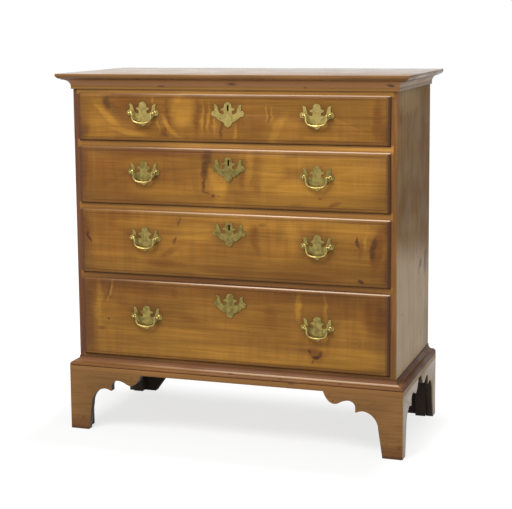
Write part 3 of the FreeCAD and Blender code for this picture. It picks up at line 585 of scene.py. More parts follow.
class StageSettings(bpy.types.PropertyGroup):
    """Camera, lights and floor."""
    camera_place: FloatVectorProperty(name="Camera place", description="Where the camera stands",
                                      default=(1.18235, -3.43640, 1.13177), size=3, subtype="TRANSLATION")
    camera_yaw: angle_property("Yaw", "Turn of the camera about the upright", 0.3291)
    camera_pitch: angle_property("Pitch", "How far the camera looks down", 0.1364)
    camera_roll: angle_property("Roll", "Lean of the camera", -0.0093)
    lens: FloatProperty(name="Lens", description="Focal length in millimetres", default=92.88)
    shift_up: FloatProperty(name="Shift", description="Upward shift of the picture", default=-0.106)
    key_power: power_property("Key light", "Power of the softbox over the left", 120.0)
    fill_power: power_property("Fill light", "Power of the softbox on the right", 25.0)
    surround: FloatProperty(name="Surround", description="Level of the light from all sides", default=0.45)


# Nodes

def set_inputs(tree, node, inputs):
    """Give each input of a node a value or a link."""
    for key, value in inputs.items():
        if isinstance(value, bpy.types.NodeSocket):
            tree.links.new(value, node.inputs[key])
        else:
            node.inputs[key].default_value = value


def add_node(tree, kind, settings=None, inputs=None):
    """Add a node with its options and its inputs."""
    node = tree.nodes.new(kind)
    for name, value in (settings or {}).items():
        setattr(node, name, value)
    set_inputs(tree, node, inputs or {})
    return node


def place_group(tree, name, inputs):
    """Put a shared group into a tree."""
    return add_node(tree, "ShaderNodeGroup", {"node_tree": bpy.data.node_groups[name]}, inputs).outputs


def maths(tree, operation, first, second=0.0):
    """One sum on one or two values."""
    return add_node(tree, "ShaderNodeMath", {"operation": operation}, {0: first, 1: second}).outputs[0]


def times(tree, first, second):
    """Two values multiplied."""
    return maths(tree, "MULTIPLY", first, second)


def added(tree, first, *others):
    """Several values added, one after another."""
    for value in others:
        first = maths(tree, "ADD", first, value)
    return first


def largest(tree, first, *others):
    """The largest of several values."""
    for value in others:
        first = maths(tree, "MAXIMUM", first, value)
    return first


def vector_maths(tree, operation, first, second=NOWHERE):
    """One sum on one or two vectors."""
    return add_node(tree, "ShaderNodeVectorMath", {"operation": operation}, {0: first, 1: second}).outputs[0]


def length_of(tree, vector):
    """Length of a vector."""
    return add_node(tree, "ShaderNodeVectorMath", {"operation": "LENGTH"}, {0: vector}).outputs["Value"]


def axis_value(tree, place, axis):
    """One coordinate of a place."""
    return add_node(tree, "ShaderNodeSeparateXYZ", None, {0: place}).outputs[axis]


def ramp(tree, value, low, high, start=0.0, end=1.0):
    """A value eased from start to end while it goes from low to high."""
    settings = {"interpolation_type": "SMOOTHSTEP"}
    inputs = {"Value": value, "From Min": low, "From Max": high, "To Min": start, "To Max": end}
    return add_node(tree, "ShaderNodeMapRange", settings, inputs).outputs[0]


def fade(tree, mask, start, end):
    """A value eased from start, where a mask is nought, to end, where it is one."""
    return ramp(tree, mask, 0.0, 1.0, start, end)


def noise(tree, vector, stretch, detail, distortion=0.0, output="Fac"):
    """Noise with so many features in each metre along X, Y and Z."""
    stretched = vector_maths(tree, "MULTIPLY", vector, stretch)
    inputs = {"Vector": stretched, "Scale": 1.0, "Detail": detail, "Distortion": distortion}
    return add_node(tree, "ShaderNodeTexNoise", None, inputs).outputs[output]


def patches(tree, vector, stretch, detail, distortion, low, high):
    """Mask of the places where noise rises from one level to another."""
    return ramp(tree, noise(tree, vector, stretch, detail, distortion), low, high)


def wandering(tree, vector, stretch, detail, reach):
    """A small move that changes from place to place, by half its reach each way."""
    colour = noise(tree, vector, stretch, detail, 0.0, "Color")
    return vector_maths(tree, "MULTIPLY", vector_maths(tree, "SUBTRACT", colour, MIDDLE_GREY), reach)


def opaque(colour):
    """A link as it is, or a colour with its alpha."""
    return colour if isinstance(colour, bpy.types.NodeSocket) else (colour[0], colour[1], colour[2], 1.0)


def darker(colour, amount):
    """A colour times a number."""
    return tuple(part * amount for part in colour)


def mixed(tree, factor, first, second):
    """Two colours mixed by a factor."""
    inputs = {MIX_FACTOR: factor, MIX_FIRST: opaque(first), MIX_SECOND: opaque(second)}
    return add_node(tree, "ShaderNodeMix", {"data_type": "RGBA"}, inputs).outputs[MIX_RESULT]


def shaded(tree, colour, value):
    """A colour made lighter or darker."""
    return add_node(tree, "ShaderNodeHueSaturation", None, {"Value": value, "Color": colour}).outputs[0]


def relief(tree, height, strength, distance):
    """Normals of a surface with a height."""
    inputs = {"Strength": strength, "Distance": distance, "Height": height}
    return add_node(tree, "ShaderNodeBump", None, inputs).outputs["Normal"]


def seen_rays(tree):
    """One for the rays that make the picture, nought for those that only carry light."""
    rays = add_node(tree, "ShaderNodeLightPath").outputs
    return largest(tree, rays["Is Camera Ray"], rays["Is Glossy Ray"], rays["Is Transmission Ray"])


# Shared effects

def new_group(name, inputs, outputs):
    """An empty node group with its sockets, what it is given and the node of its results."""
    group = bpy.data.node_groups.new(name, "ShaderNodeTree")
    for label, kind in inputs.items():
        group.interface.new_socket(name=label, in_out="INPUT", socket_type=kind)
    for label in outputs:
        group.interface.new_socket(name=label, in_out="OUTPUT", socket_type=FLOAT)
    return group, group.nodes.new("NodeGroupInput").outputs, group.nodes.new("NodeGroupOutput")


def add_layers(group, given, result, layers):
    """Feed a group's results with masks of noise."""
    for name, layer in layers.items():
        set_inputs(group, result, {name: patches(group, given["Vector"], *layer)})


def build_grain_group():
    """Grain that runs along X: fine fibres, streaks, broad zones, ripples across it and growth rings."""
    inputs = {"Vector": VECTOR, "Heart": VECTOR}
    group, given, result = new_group("maple grain", inputs, (*GRAIN_LAYERS, "Rings"))
    add_layers(group, given, result, GRAIN_LAYERS)
    from_heart = vector_maths(group, "SUBTRACT", given["Vector"], given["Heart"])
    from_heart = vector_maths(group, "ADD", from_heart, wandering(group, given["Vector"], *RING_WANDER))
    tapered = vector_maths(group, "MULTIPLY", from_heart, (RING_TAPER, 1.0, 1.0))
    turns = times(group, length_of(group, tapered), 2 * math.pi * RINGS_PER_METRE)
    set_inputs(group, result, {"Rings": ramp(group, maths(group, "SINE", turns), *RING_EDGE)})


def build_mark_group():
    """Soft oval mark on a drawer's face, with ends that may sag."""
    inputs = {"Vector": VECTOR, "Middle": VECTOR, "Half": VECTOR}
    inputs.update({"Turn": FLOAT, "Sag": FLOAT, "Strength": FLOAT})
    group, given, result = new_group("figure mark", inputs, ("Mask",))
    offset = vector_maths(group, "SUBTRACT", given["Vector"], given["Middle"])
    turned = add_node(group, "ShaderNodeVectorRotate", {"rotation_type": "Y_AXIS"},
                      {"Vector": offset, "Angle": given["Turn"]}).outputs[0]
    scaled = vector_maths(group, "DIVIDE", turned, given["Half"])
    parts = add_node(group, "ShaderNodeSeparateXYZ", None, {0: scaled}).outputs
    along = times(group, parts["X"], parts["X"])
    across = added(group, parts["Z"], times(group, along, given["Sag"]))
    reach = maths(group, "SQRT", added(group, along, times(group, across, across)))
    mask = ramp(group, reach, *MARK_EDGE, 1.0, 0.0)
    set_inputs(group, result, {"Mask": times(group, mask, given["Strength"])})


def build_lip_group():
    """Distances in from a drawer front's edges as masks for its lips."""
    inputs = {"Vector": VECTOR, "Middle": VECTOR, "Half": VECTOR}
    group, given, result = new_group("lip border", inputs, LIP_MASKS)
    offset = vector_maths(group, "SUBTRACT", given["Vector"], given["Middle"])
    inwards = vector_maths(group, "SUBTRACT", given["Half"], vector_maths(group, "ABSOLUTE", offset))
    parts = add_node(group, "ShaderNodeSeparateXYZ", None, {0: inwards}).outputs
    from_quirk = maths(group, "SUBTRACT", maths(group, "MINIMUM", parts["X"], parts["Z"]), QUIRK_IN)
    distances = {
        "Ends": parts["X"],
        "Sides": parts["X"],
        "Edges": parts["Z"],
        "Quirk": maths(group, "ABSOLUTE", from_quirk),
        "Crest": axis_value(group, vector_maths(group, "SUBTRACT", given["Half"], offset), "Z"),
        "Foot": axis_value(group, vector_maths(group, "ADD", given["Half"], offset), "Z"),
    }
    for name, distance in distances.items():
        set_inputs(group, result, {name: ramp(group, distance, *LIP_MASKS[name], 1.0, 0.0)})


def build_wear_group():
    """Old varnish: cloudy polish, rubs and small dents, as a roughness, a height and a mask of dirt."""
    inputs = {"Vector": VECTOR, "Fibre": FLOAT, "Dull": FLOAT}
    group, given, result = new_group("worn varnish", inputs, ("Roughness", "Height", "Dirt"))
    cloud = patches(group, given["Vector"], *VARNISH_CLOUD)
    dents = patches(group, given["Vector"], *VARNISH_DENTS)
    grit = patches(group, given["Vector"], *VARNISH_GRIT)
    clouded = times(group, cloud, CLOUD_ROUGH)
    fibrous = times(group, given["Fibre"], FIBRE_ROUGH)
    raised = times(group, given["Fibre"], FIBRE_HEIGHT)
    set_inputs(group, result, {
        "Roughness": added(group, clouded, fibrous, given["Dull"]),
        "Height": added(group, raised, times(group, dents, DENT_HEIGHT)),
        "Dirt": times(group, largest(group, dents, grit), cloud),
    })


def build_patina_group():
    """Tarnish on metal: clouds, specks and fine rubbing lines."""
    group, given, result = new_group("metal patina", {"Vector": VECTOR}, PATINA_LAYERS)
    add_layers(group, given, result, PATINA_LAYERS)


def build_groups():
    """All the shared effects, once."""
    if "maple grain" in bpy.data.node_groups:
        return
    build_grain_group()
    build_mark_group()
    build_lip_group()
    build_wear_group()
    build_patina_group()


# Materials

def new_material(name):
    """A material with its tree, its shader and its place on the piece."""
    build_groups()
    material = bpy.data.materials.new(name)
    material.use_nodes = True
    tree = material.node_tree
    shader = tree.nodes["Principled BSDF"]
    place = add_node(tree, "ShaderNodeTexCoord").outputs["Object"]
    return material, tree, shader, place


class Board:
    """A wood's finish while it is made: its material, tree, shader, place on the piece and grain."""

    def __init__(self, name, turn, shift=NOWHERE):
        self.material, self.tree, self.shader, self.place = new_material(name)
        laid = self.along_grain(turn, shift)
        self.grain = place_group(self.tree, "maple grain", {"Vector": laid, "Heart": HEART})

    def along_grain(self, turn, shift=NOWHERE):
        """The place turned so that the grain runs along X."""
        inputs = {"Vector": self.place, "Rotation": turn, "Location": shift}
        return add_node(self.tree, "ShaderNodeMapping", None, inputs).outputs[0]

    def axis(self, name):
        """One coordinate of the place."""
        return axis_value(self.tree, self.place, name)

    def beside(self, name):
        """How far the place lies from the chest's middle along one axis."""
        return maths(self.tree, "ABSOLUTE", self.axis(name))

    def on_face(self):
        """The place pressed flat onto the chest's front."""
        return vector_maths(self.tree, "MULTIPLY", self.place, ON_THE_FACE)

    def streaky(self, mask, least):
        """A mask that falls to its least where the grain is streaked."""
        return times(self.tree, mask, fade(self.tree, self.grain["Streak"], 1.0, least))

    def near_face(self, distance, face, skin):
        """Mask of the skin behind a face at a distance."""
        return ramp(self.tree, distance, face - skin[1], face - skin[0])

    def front_edge(self):
        """Mask of the front edges of the case."""
        return ramp(self.tree, self.axis("Y"), STILE_Y + EDGE_SKIN[0], STILE_Y + EDGE_SKIN[1], 1.0, 0.0)

    def polish(self, weight, roughness):
        """Lay a clear coat over the finish."""
        set_inputs(self.tree, self.shader, {"Coat Weight": weight, "Coat Roughness": roughness})

    def varnish(self, colour, dull, specular, soil=0.55):
        """Finish the material: dirt that darkens it to soil, roughness and relief."""
        inputs = {"Vector": self.place, "Fibre": self.grain["Fibre"], "Dull": dull}
        worn = place_group(self.tree, "worn varnish", inputs)
        set_inputs(self.tree, self.shader, {
            "Base Color": shaded(self.tree, colour, fade(self.tree, worn["Dirt"], 1.0, soil)),
            "Roughness": worn["Roughness"],
            "Normal": relief(self.tree, worn["Height"], strength=0.35, distance=0.0004),
            "Specular IOR Level": specular,
        })
        return self.material


def grained_colour(board, light, contrast, cloud=0.6, rings=0.3):
    """Plain grain from a light tone to a darker one, with so much streak, cloud and ring."""
    tree = board.tree
    colour = light
    for name, amount in (("Broad", cloud), ("Streak", contrast), ("Rings", rings)):
        colour = mixed(tree, times(tree, board.grain[name], amount), colour, darker(light, GRAIN_DARK))
    return shaded(tree, colour, fade(tree, board.grain["Fibre"], *PLAIN_FIBRES))


def marked(board, vector, colour, marks, woods):
    """A colour with the marks of its figure laid over it, tone by tone."""
    masks = {}
    for tone, x, z, half_length, half_width, rise, sag, strength in marks:
        inputs = {
            "Vector": vector,
            "Middle": (x * MM, 0.0, z * MM),
            "Half": (half_length * MM, 1.0, half_width * MM),
            "Turn": math.radians(rise),
            "Sag": sag / half_width,
            "Strength": strength,
        }
        mask = place_group(board.tree, "figure mark", inputs)["Mask"]
        masks[tone] = largest(board.tree, masks[tone], mask) if tone in masks else mask
    for tone in TONES:
        if tone in masks:
            colour = mixed(board.tree, board.streaky(masks[tone], least=0.72), colour, getattr(woods, tone))
    return colour


def highlight_spread(board):
    """Painted highlight on the arrises, which grows from the left end towards the right."""
    return ramp(board.tree, board.axis("X"), *HIGHLIGHT_BETWEEN, HIGHLIGHT_LEAST, 1.0)


def banded(board, colour, foot_level, bands, woods):
    """A colour with bands laid over it by their height."""
    tree = board.tree
    height = maths(tree, "SUBTRACT", board.axis("Z"), foot_level)
    for middle, half, strength, tone in bands:
        apart = maths(tree, "ABSOLUTE", maths(tree, "SUBTRACT", height, middle * MM))
        mask = ramp(tree, apart, half * MM * BAND_EDGE[0], half * MM * BAND_EDGE[1], strength, 0.0)
        # a band of the painted highlight grows towards the right
        if tone == "worn":
            mask = times(tree, mask, highlight_spread(board))
        colour = mixed(tree, mask, colour, getattr(woods, tone))
    return colour


def divider_shades():
    """Marks on the dividers: painted shade along each, and a painted shadow just above the lip of the drawer
    below.
    """
    marks = []
    for upper, shades in DIVIDER_SHADES.items():
        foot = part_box("drawer_%d_front" % upper)[0].z / MM
        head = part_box("drawer_%d_front" % (upper + 1))[1].z / MM
        for tone, middle, half_length, strength in shades:
            marks.append((tone, middle, (foot + head) / 2, half_length, DIVIDER_HALF, 0, 0, strength))
        marks.append(("dark", 0, head + GAP_SHADOW_RISE, *GAP_SHADOW_HALF, 0, 0, LIP_GAP_SHADOW[upper]))
    return marks


def maple_top(woods):
    """Top board: polished and worn pale above, browner on its rounded edge."""
    board = Board("maple top", ALONG_X)
    above = grained_colour(board, woods.top, contrast=0.4, cloud=0.25, rings=0.35)
    edge = grained_colour(board, darker(woods.moulding, TOP_EDGE_SHADE), contrast=0.5)
    upper = board.near_face(board.axis("Z"), TOP_Z, TOP_SKIN)
    board.polish(times(board.tree, upper, TOP_GLOSS), roughness=0.25)
    return board.varnish(mixed(board.tree, upper, edge, above), dull=0.22, specular=0.2)


def moulded_board(name, woods, light, turn, foot_level, bands, knots, dull, specular):
    """Varnished maple with darker and brighter bands along its height, and knots on its front."""
    board = Board(name, turn)
    colour = grained_colour(board, light, contrast=0.5, cloud=0.5, rings=0.08)
    colour = banded(board, colour, foot_level, bands, woods)
    return board.varnish(marked(board, board.on_face(), colour, knots, woods), dull, specular)


def bracket_foot(name, woods, light, turn, axis, gloss):
    """Bracket foot: blotched varnish on its outer face, dark on its sawn edges and behind."""
    board = Board(name, turn)
    tree = board.tree
    blotches = times(tree, patches(tree, board.place, *FOOT_BLOTCHES), FOOT_BLOTCH)
    colour = grained_colour(board, light, contrast=0.25, cloud=0.5, rings=0.06)
    colour = mixed(tree, blotches, colour, woods.brown)
    colour = banded(board, colour, 0.0, FOOT_BANDS, woods)
    low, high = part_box("front_foot_brackets")
    outer = {"X": high.x, "Y": -low.y}[axis]
    shown = board.near_face(board.beside(axis), outer, FOOT_SKIN)
    if gloss:
        board.polish(times(tree, shown, gloss), roughness=0.38)
    return board.varnish(mixed(tree, shown, woods.near_black, colour), dull=0.42, specular=0.15, soil=0.3)


def maple_end(name, woods, stile, marks):
    """Case end: dull outside with a polish and a painted pale reflection that grow towards the floor, its own
    stile edge, bare inside.
    """
    board = Board(name, ALONG_Z)
    tree = board.tree
    cloudy = times(tree, noise(tree, board.place, *LOW_SHEEN_NOISE), LOW_SHEEN_WANDER)
    slanted = times(tree, board.axis("Y"), LOW_SHEEN_SLANT)
    level = added(tree, board.axis("Z"), cloudy, slanted)
    # painted reflection of the white floor, paler towards the floor
    painted_reflection = board.streaky(ramp(tree, level, *LOW_SHEEN_LINE, PAINTED_REFLECTION, 0.0), least=0.6)
    outer = grained_colour(board, woods.end, contrast=0.4, cloud=0.45, rings=0.25)
    outer = mixed(tree, painted_reflection, outer, woods.pale)
    sideways = vector_maths(tree, "MULTIPLY", board.along_grain(ALONG_Y), ON_THE_FACE)
    warped = vector_maths(tree, "ADD", sideways, wandering(tree, sideways, *END_WANDER))
    outer = marked(board, warped, outer, marks, woods)
    outside = board.near_face(board.beside("X"), CASE_HALF, END_SKIN)
    colour = mixed(tree, outside, grained_colour(board, woods.pine, contrast=0.5), outer)
    colour = mixed(tree, board.front_edge(), colour, grained_colour(board, stile, contrast=0.6))
    glossy = times(tree, ramp(tree, level, *LOW_SHEEN_LINE, LOW_GLOSS, 0.0), outside)
    board.polish(glossy, roughness=0.38)
    return board.varnish(colour, dull=0.55, specular=0.10)


def brass_places(number):
    """Middles of a drawer's pulls and of its escutcheon, in millimetres on its face."""
    places = []
    for side in PULL_SIDES:
        pivot = pull_pivot(number, side)
        places.append((pivot.x / MM, pivot.z / MM))
    low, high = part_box("drawer_%d_escutcheon" % number)
    places.append(((low.x + high.x) / 2 / MM, (low.z + high.z) / 2 / MM))
    return places


def figured_front(number, woods):
    """Figured maple of one drawer front, with its marks, dirt and painted shade round its brasses and on its
    lips, a painted shadow under its foot, a painted highlight on its top lip, and its bare inside.
    """
    board = Board("figured maple, drawer %d" % number, ALONG_X, (number * DRAWER_SHIFT, 0.0, 0.0))
    tree = board.tree
    grain = board.grain
    ground = mixed(tree, grain["Broad"], *(darker(woods.amber, shade) for shade in GROUND_SHADES))
    colour = mixed(tree, times(tree, grain["Streak"], FRONT_STREAK), ground, woods.brown)

    flat = board.on_face()
    warped = flat
    for wander in FIGURE_WANDERS:
        warped = vector_maths(tree, "ADD", warped, wandering(tree, board.place, *wander))
    colour = marked(board, warped, colour, FIGURE[number], woods)
    rippled = times(tree, grain["Ripple"], ramp(tree, grain["Broad"], *RIPPLED))
    colour = shaded(tree, colour, fade(tree, rippled, *RIPPLE_SHADES))
    colour = shaded(tree, colour, fade(tree, grain["Fibre"], *FRONT_FIBRES))
    # dirt and painted shade round each brass
    grime_and_shade = [("dark", x, z, *GRIME_AND_SHADE_HALF, 0, 0, GRIME_AND_SHADE) for x, z in brass_places(number)]
    colour = marked(board, flat, colour, grime_and_shade, woods)

    low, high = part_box("drawer_%d_front" % number)
    sides = {"Vector": board.place, "Middle": (low + high) / 2, "Half": (high - low) / 2}
    lips = place_group(tree, "lip border", sides)
    # dirt and painted shade on the lips, in the quirk and broadly in from both ends
    dirt_and_shade = []
    for name, (left, right) in LIP_DIRT_AND_SHADE.items():
        dirt_and_shade.append(times(tree, lips[name], ramp(tree, board.axis("X"), *LIP_DIRT_AND_SHADE_TURNS, left, right)))
    colour = mixed(tree, largest(tree, *dirt_and_shade), colour, woods.lip)
    # painted shadow along the foot of the drawer, under its lip
    colour = mixed(tree, times(tree, lips["Foot"], FOOT_SHADOW), colour, woods.foot_shadow)
    # painted highlight on the arris of the top lip, growing towards the right
    rubbed_and_sheen = times(tree, lips["Crest"], highlight_spread(board))
    colour = mixed(tree, board.streaky(rubbed_and_sheen, least=0.8), colour, woods.worn)
    inside = ramp(tree, board.axis("Y"), FACE_Y + LIP_SKIN[0], FACE_Y + LIP_SKIN[1])
    bare = grained_colour(board, darker(woods.pine, INSIDE_SHADE), contrast=0.5)
    return board.varnish(mixed(tree, inside, colour, bare), dull=0.26, specular=0.1)


def pine_board(name, tone, turn, front_edge=None):
    """Bare pine with wide growth bands, browned by age. A front edge may be varnished to match the rails."""
    board = Board(name, turn)
    colour = grained_colour(board, tone, *PINE_GRAIN)
    if front_edge:
        varnished = grained_colour(board, front_edge, contrast=0.5)
        colour = mixed(board.tree, board.front_edge(), colour, varnished)
    return board.varnish(colour, *PINE_SHINE)


def nailed_pine(woods):
    """Browned pine of the back, with the flush heads of its nails and the rust about them."""
    board = Board("browned pine", ALONG_X)
    tree = board.tree
    low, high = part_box("back_boards")
    pitch = (high.z - low.z) / BACK_BOARDS
    level = maths(tree, "MODULO", maths(tree, "SUBTRACT", board.axis("Z"), low.z), pitch)
    folded = add_node(tree, "ShaderNodeCombineXYZ", None, {"X": board.beside("X"), "Z": level}).outputs[0]
    x = high.x / MM - NAIL_INSET
    nails = []
    for share in NAIL_SHARES:
        z = pitch / MM * share
        nails.append(("red", x, z, *NAIL_RUST))
        nails.append(("dark", x, z, *NAIL_HEAD))
    colour = marked(board, folded, grained_colour(board, woods.back, *PINE_GRAIN), nails, woods)
    return board.varnish(colour, *PINE_SHINE)


def new_metal(name):
    """A material with its tree, its shader and its tarnish."""
    material, tree, shader, place = new_material(name)
    return material, tree, shader, place_group(tree, "metal patina", {"Vector": place})


def brass(name, metals, rubbed_and_sheen, shade=1.0, rough=0.28):
    """Old brass, from dull olive to rubbed bright."""
    material, tree, shader, patina = new_metal(name)
    tarnish = darker(metals.tarnish, shade)
    dull = mixed(tree, times(tree, patina["Cloud"], BRASS_TARNISH), darker(metals.olive, shade), tarnish)
    worn = times(tree, fade(tree, patina["Cloud"], start=1.0, end=0.45), rubbed_and_sheen)
    colour = mixed(tree, worn, dull, metals.bright)
    clouded = times(tree, patina["Cloud"], BRASS_CLOUD_ROUGH)
    scratched = times(tree, patina["Rub"], BRASS_RUB_ROUGH)
    height = maths(tree, "SUBTRACT", times(tree, patina["Rub"], BRASS_RUB_HEIGHT), patina["Speck"])
    set_inputs(tree, shader, {
        "Base Color": mixed(tree, times(tree, patina["Speck"], BRASS_SPECKS), colour, tarnish),
        "Roughness": added(tree, clouded, scratched, rough),
        "Metallic": 1.0,
        "Normal": relief(tree, height, strength=0.2, distance=0.0002),
    })
    return material


def wrought_iron(metals):
    """Blackened iron with rust."""
    material, tree, shader, patina = new_metal("wrought iron")
    colour = mixed(tree, times(tree, patina["Cloud"], IRON_RUST), metals.iron, metals.rust)
    height = added(tree, patina["Cloud"], patina["Speck"])
    set_inputs(tree, shader, {
        "Base Color": shaded(tree, colour, fade(tree, patina["Rub"], start=0.8, end=1.3)),
        "Roughness": fade(tree, patina["Cloud"], start=0.42, end=0.8),
        "Metallic": fade(tree, patina["Cloud"], start=0.95, end=0.35),
        "Normal": relief(tree, height, strength=0.4, distance=0.0003),
    })
    return material


def cover(node_name, material):
    """Give a node of the chest its finish."""
    for slot in frame["nodes"][node_name].material_slots:
        slot.link = "OBJECT"
        slot.material = material


# Modelling

def select_only(*pieces):
    """Select some pieces and make the first of them active."""
    bpy.ops.object.select_all(action="DESELECT")
    for piece in pieces:
        piece.select_set(True)
    bpy.context.view_layer.objects.active = pieces[0]


def start_edit(piece, mode):
    """Open one piece for editing by its vertices, its edges or its faces."""
    select_only(piece)
    bpy.ops.object.mode_set(mode="EDIT")
    bpy.ops.mesh.select_mode(type=mode)


def end_edit():
    """Close the piece that is being edited."""
    bpy.ops.object.mode_set(mode="OBJECT")


def choose(piece, mode, chosen):
    """Open a piece for editing with only its chosen vertices, edges or faces selected."""
    start_edit(piece, mode)
    bpy.ops.mesh.select_all(action="DESELECT")
    end_edit()
    elements = {"VERT": piece.data.vertices, "EDGE": piece.data.edges, "FACE": piece.data.polygons}
    for element in elements[mode]:
        element.select = chosen(element)
    start_edit(piece, mode)


def weld(piece):
    """Join the points of a piece that meet, and turn its faces outwards."""
    start_edit(piece, "VERT")
    bpy.ops.mesh.select_all(action="SELECT")
    bpy.ops.mesh.remove_doubles(threshold=MERGE)
    bpy.ops.mesh.normals_make_consistent(inside=False)
    end_edit()


def new_ring(name, radius, sides, place, turn):
    """Open ring to draw a round bar from, left open for editing with the ring selected."""
    bpy.ops.object.select_all(action="DESELECT")
    bpy.ops.mesh.primitive_circle_add(vertices=sides, radius=radius, fill_type="NOTHING",
                                      location=place, rotation=turn)
    ring = bpy.context.object
    ring.name = name
    bpy.ops.object.transform_apply(location=True, rotation=True, scale=True)
    start_edit(ring, "VERT")
    bpy.ops.mesh.select_all(action="SELECT")
    return ring


def draw_out(move, size=1.0, centre=None):
    """Extrude the selected ring by a move, then scale its new end about a centre."""
    bpy.ops.mesh.extrude_edges_move(TRANSFORM_OT_translate={"value": move})
    if size != 1.0:
        bpy.ops.transform.resize(value=(size, size, size), center_override=centre)


def draw_round(steps, angle, middle):
    """Draw the selected ring round a middle, in the plane of the front."""
    bpy.ops.mesh.spin(steps=steps, angle=angle, center=middle, axis=(0.0, 1.0, 0.0))


def finish_piece(piece, name, body, material, nodes):
    """Name a piece, give it its finish, and let it ride and stand for its nodes."""
    piece.name = name
    piece.data.name = name
    piece.data.materials.clear()
    piece.data.materials.append(material)
    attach(piece, body)
    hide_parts(*nodes)


def copy_at(master, moves):
    """One mesh object holding a copy of the master at each move."""
    copies = []
    for move in moves:
        copy = master.copy()
        copy.data = master.data.copy()
        copy.data.transform(Matrix.Translation(move))
        bpy.context.collection.objects.link(copy)
        copies.append(copy)
    select_only(*copies)
    if len(copies) > 1:
        bpy.ops.object.join()
    return bpy.context.view_layer.objects.active


def drop_master(master):
    """Remove a pattern piece once it has been copied."""
    bpy.data.meshes.remove(master.data)


def pull_pivot(number, side):
    """Middle of the line through a bail's two pins."""
    return Vector(JOINTS["drawer_%d_bail_%s_swing" % (number, side)]["pos_m"])


def model_bail(sizes):
    """Bail about its pivot: bow, corners, arms, knuckles and pins, drawn as one half and mirrored."""
    turn = math.pi / 2 - sizes.bail_bow
    bow_half = sizes.bail_half - sizes.bail_corner * (1 - math.cos(turn))
    bow_radius = bow_half / math.sin(sizes.bail_bow)
    bow_end = bow_radius * (1 - math.cos(sizes.bail_bow)) - sizes.bail_drop
    arm_foot = bow_end + sizes.bail_corner * math.sin(turn)
    elbow = sizes.bail_half + sizes.knuckle
    shoulder = sizes.post_half - sizes.ball_radius

    bow_foot = (0.0, 0.0, -sizes.bail_drop)
    bail = new_ring("bail", sizes.bail_radius, BAIL_SIDES, bow_foot, (0.0, math.pi / 2, 0.0))
    draw_round(BOW_STEPS, sizes.bail_bow, (0.0, 0.0, bow_radius - sizes.bail_drop))
    draw_round(CORNER_STEPS, turn, (sizes.bail_half - sizes.bail_corner, 0.0, arm_foot))
    draw_out((0.0, 0.0, -sizes.knuckle - arm_foot))
    draw_round(KNUCKLE_STEPS, -math.pi / 2, (elbow, 0.0, -sizes.knuckle))
    draw_out((shoulder - SHOULDER_STEP - elbow, 0.0, 0.0))
    draw_out((SHOULDER_STEP, 0.0, 0.0), sizes.pin_radius / sizes.bail_radius, (shoulder, 0.0, 0.0))
    draw_out((sizes.post_half + sizes.pin_end - shoulder, 0.0, 0.0))
    bpy.ops.mesh.edge_face_add()
    end_edit()

    def on_bow(vertex):
        return abs(vertex.co.x) < bow_half * SWELL_SHARE and vertex.co.z < arm_foot

    mirror = bail.modifiers.new("other half", "MIRROR")
    mirror.use_axis = (True, False, False)
    bpy.ops.object.modifier_apply(modifier=mirror.name)
    weld(bail)
    choose(bail, "VERT", on_bow)
    bpy.ops.transform.shrink_fatten(value=sizes.bail_swell)
    end_edit()
    bpy.ops.object.shade_smooth_by_angle(angle=SMOOTH_BAIL)
    return bail


def model_nut(sizes, inside):
    """Square nut with a chamfer and the end of its shank."""
    bpy.ops.object.select_all(action="DESELECT")
    middle = inside + sizes.nut_height / 2
    bpy.ops.mesh.primitive_cube_add(size=sizes.nut_width, location=(0.0, middle, 0.0))
    nut = bpy.context.object
    nut.scale.y = sizes.nut_height / sizes.nut_width
    bpy.ops.object.transform_apply(location=True, rotation=True, scale=True)
    choose(nut, "FACE", lambda face: face.normal.y > FACING)
    bpy.ops.mesh.inset(thickness=sizes.nut_width * NUT_CHAMFER, depth=sizes.nut_height * NUT_CHAMFER)
    bpy.ops.mesh.inset(thickness=sizes.nut_width * NUT_CHAMFER)
    shank = (0.0, sizes.nut_height * NUT_SHANK, 0.0)
    bpy.ops.mesh.extrude_region_move(TRANSFORM_OT_translate={"value": shank})
    end_edit()
    bevel = nut.modifiers.new("filed edges", "BEVEL")
    bevel.width = sizes.nut_width * NUT_FILED
    bevel.segments = BEVEL_STEPS
    bevel.limit_method = "ANGLE"
    bpy.ops.object.modifier_apply(modifier=bevel.name)
    return nut


def model_post(sizes, seat, reach, inside):
    """Post about its own axis: collar, neck and ball in front, square nut on the inside."""
    post = new_ring("post", sizes.collar_radius, POST_SIDES, (0.0, seat, 0.0), (math.pi / 2, 0.0, 0.0))
    stations = []
    for widest, turning in ((sizes.collar_radius, COLLAR_TURNING), (sizes.neck_radius, NECK_TURNING)):
        for share, up in turning:
            stations.append((widest * share, sizes.collar_height * up))
    for degrees in BALL_TURNING:
        angle = math.radians(degrees)
        stations.append((sizes.ball_radius * math.sin(angle), reach - sizes.ball_radius * math.cos(angle)))
    radius = sizes.collar_radius
    out = 0.0
    for next_radius, next_out in stations:
        draw_out((0.0, out - next_out, 0.0), next_radius / radius, (0.0, seat - next_out, 0.0))
        radius = next_radius
        out = next_out
    draw_out((0.0, out - reach - sizes.ball_radius, 0.0))
    bpy.ops.mesh.merge(type="CENTER")
    end_edit()

    nut = model_nut(sizes, inside)
    select_only(post, nut)
    bpy.ops.object.join()
    weld(post)
    bpy.ops.object.shade_smooth_by_angle(angle=SMOOTH_POST)
    return post


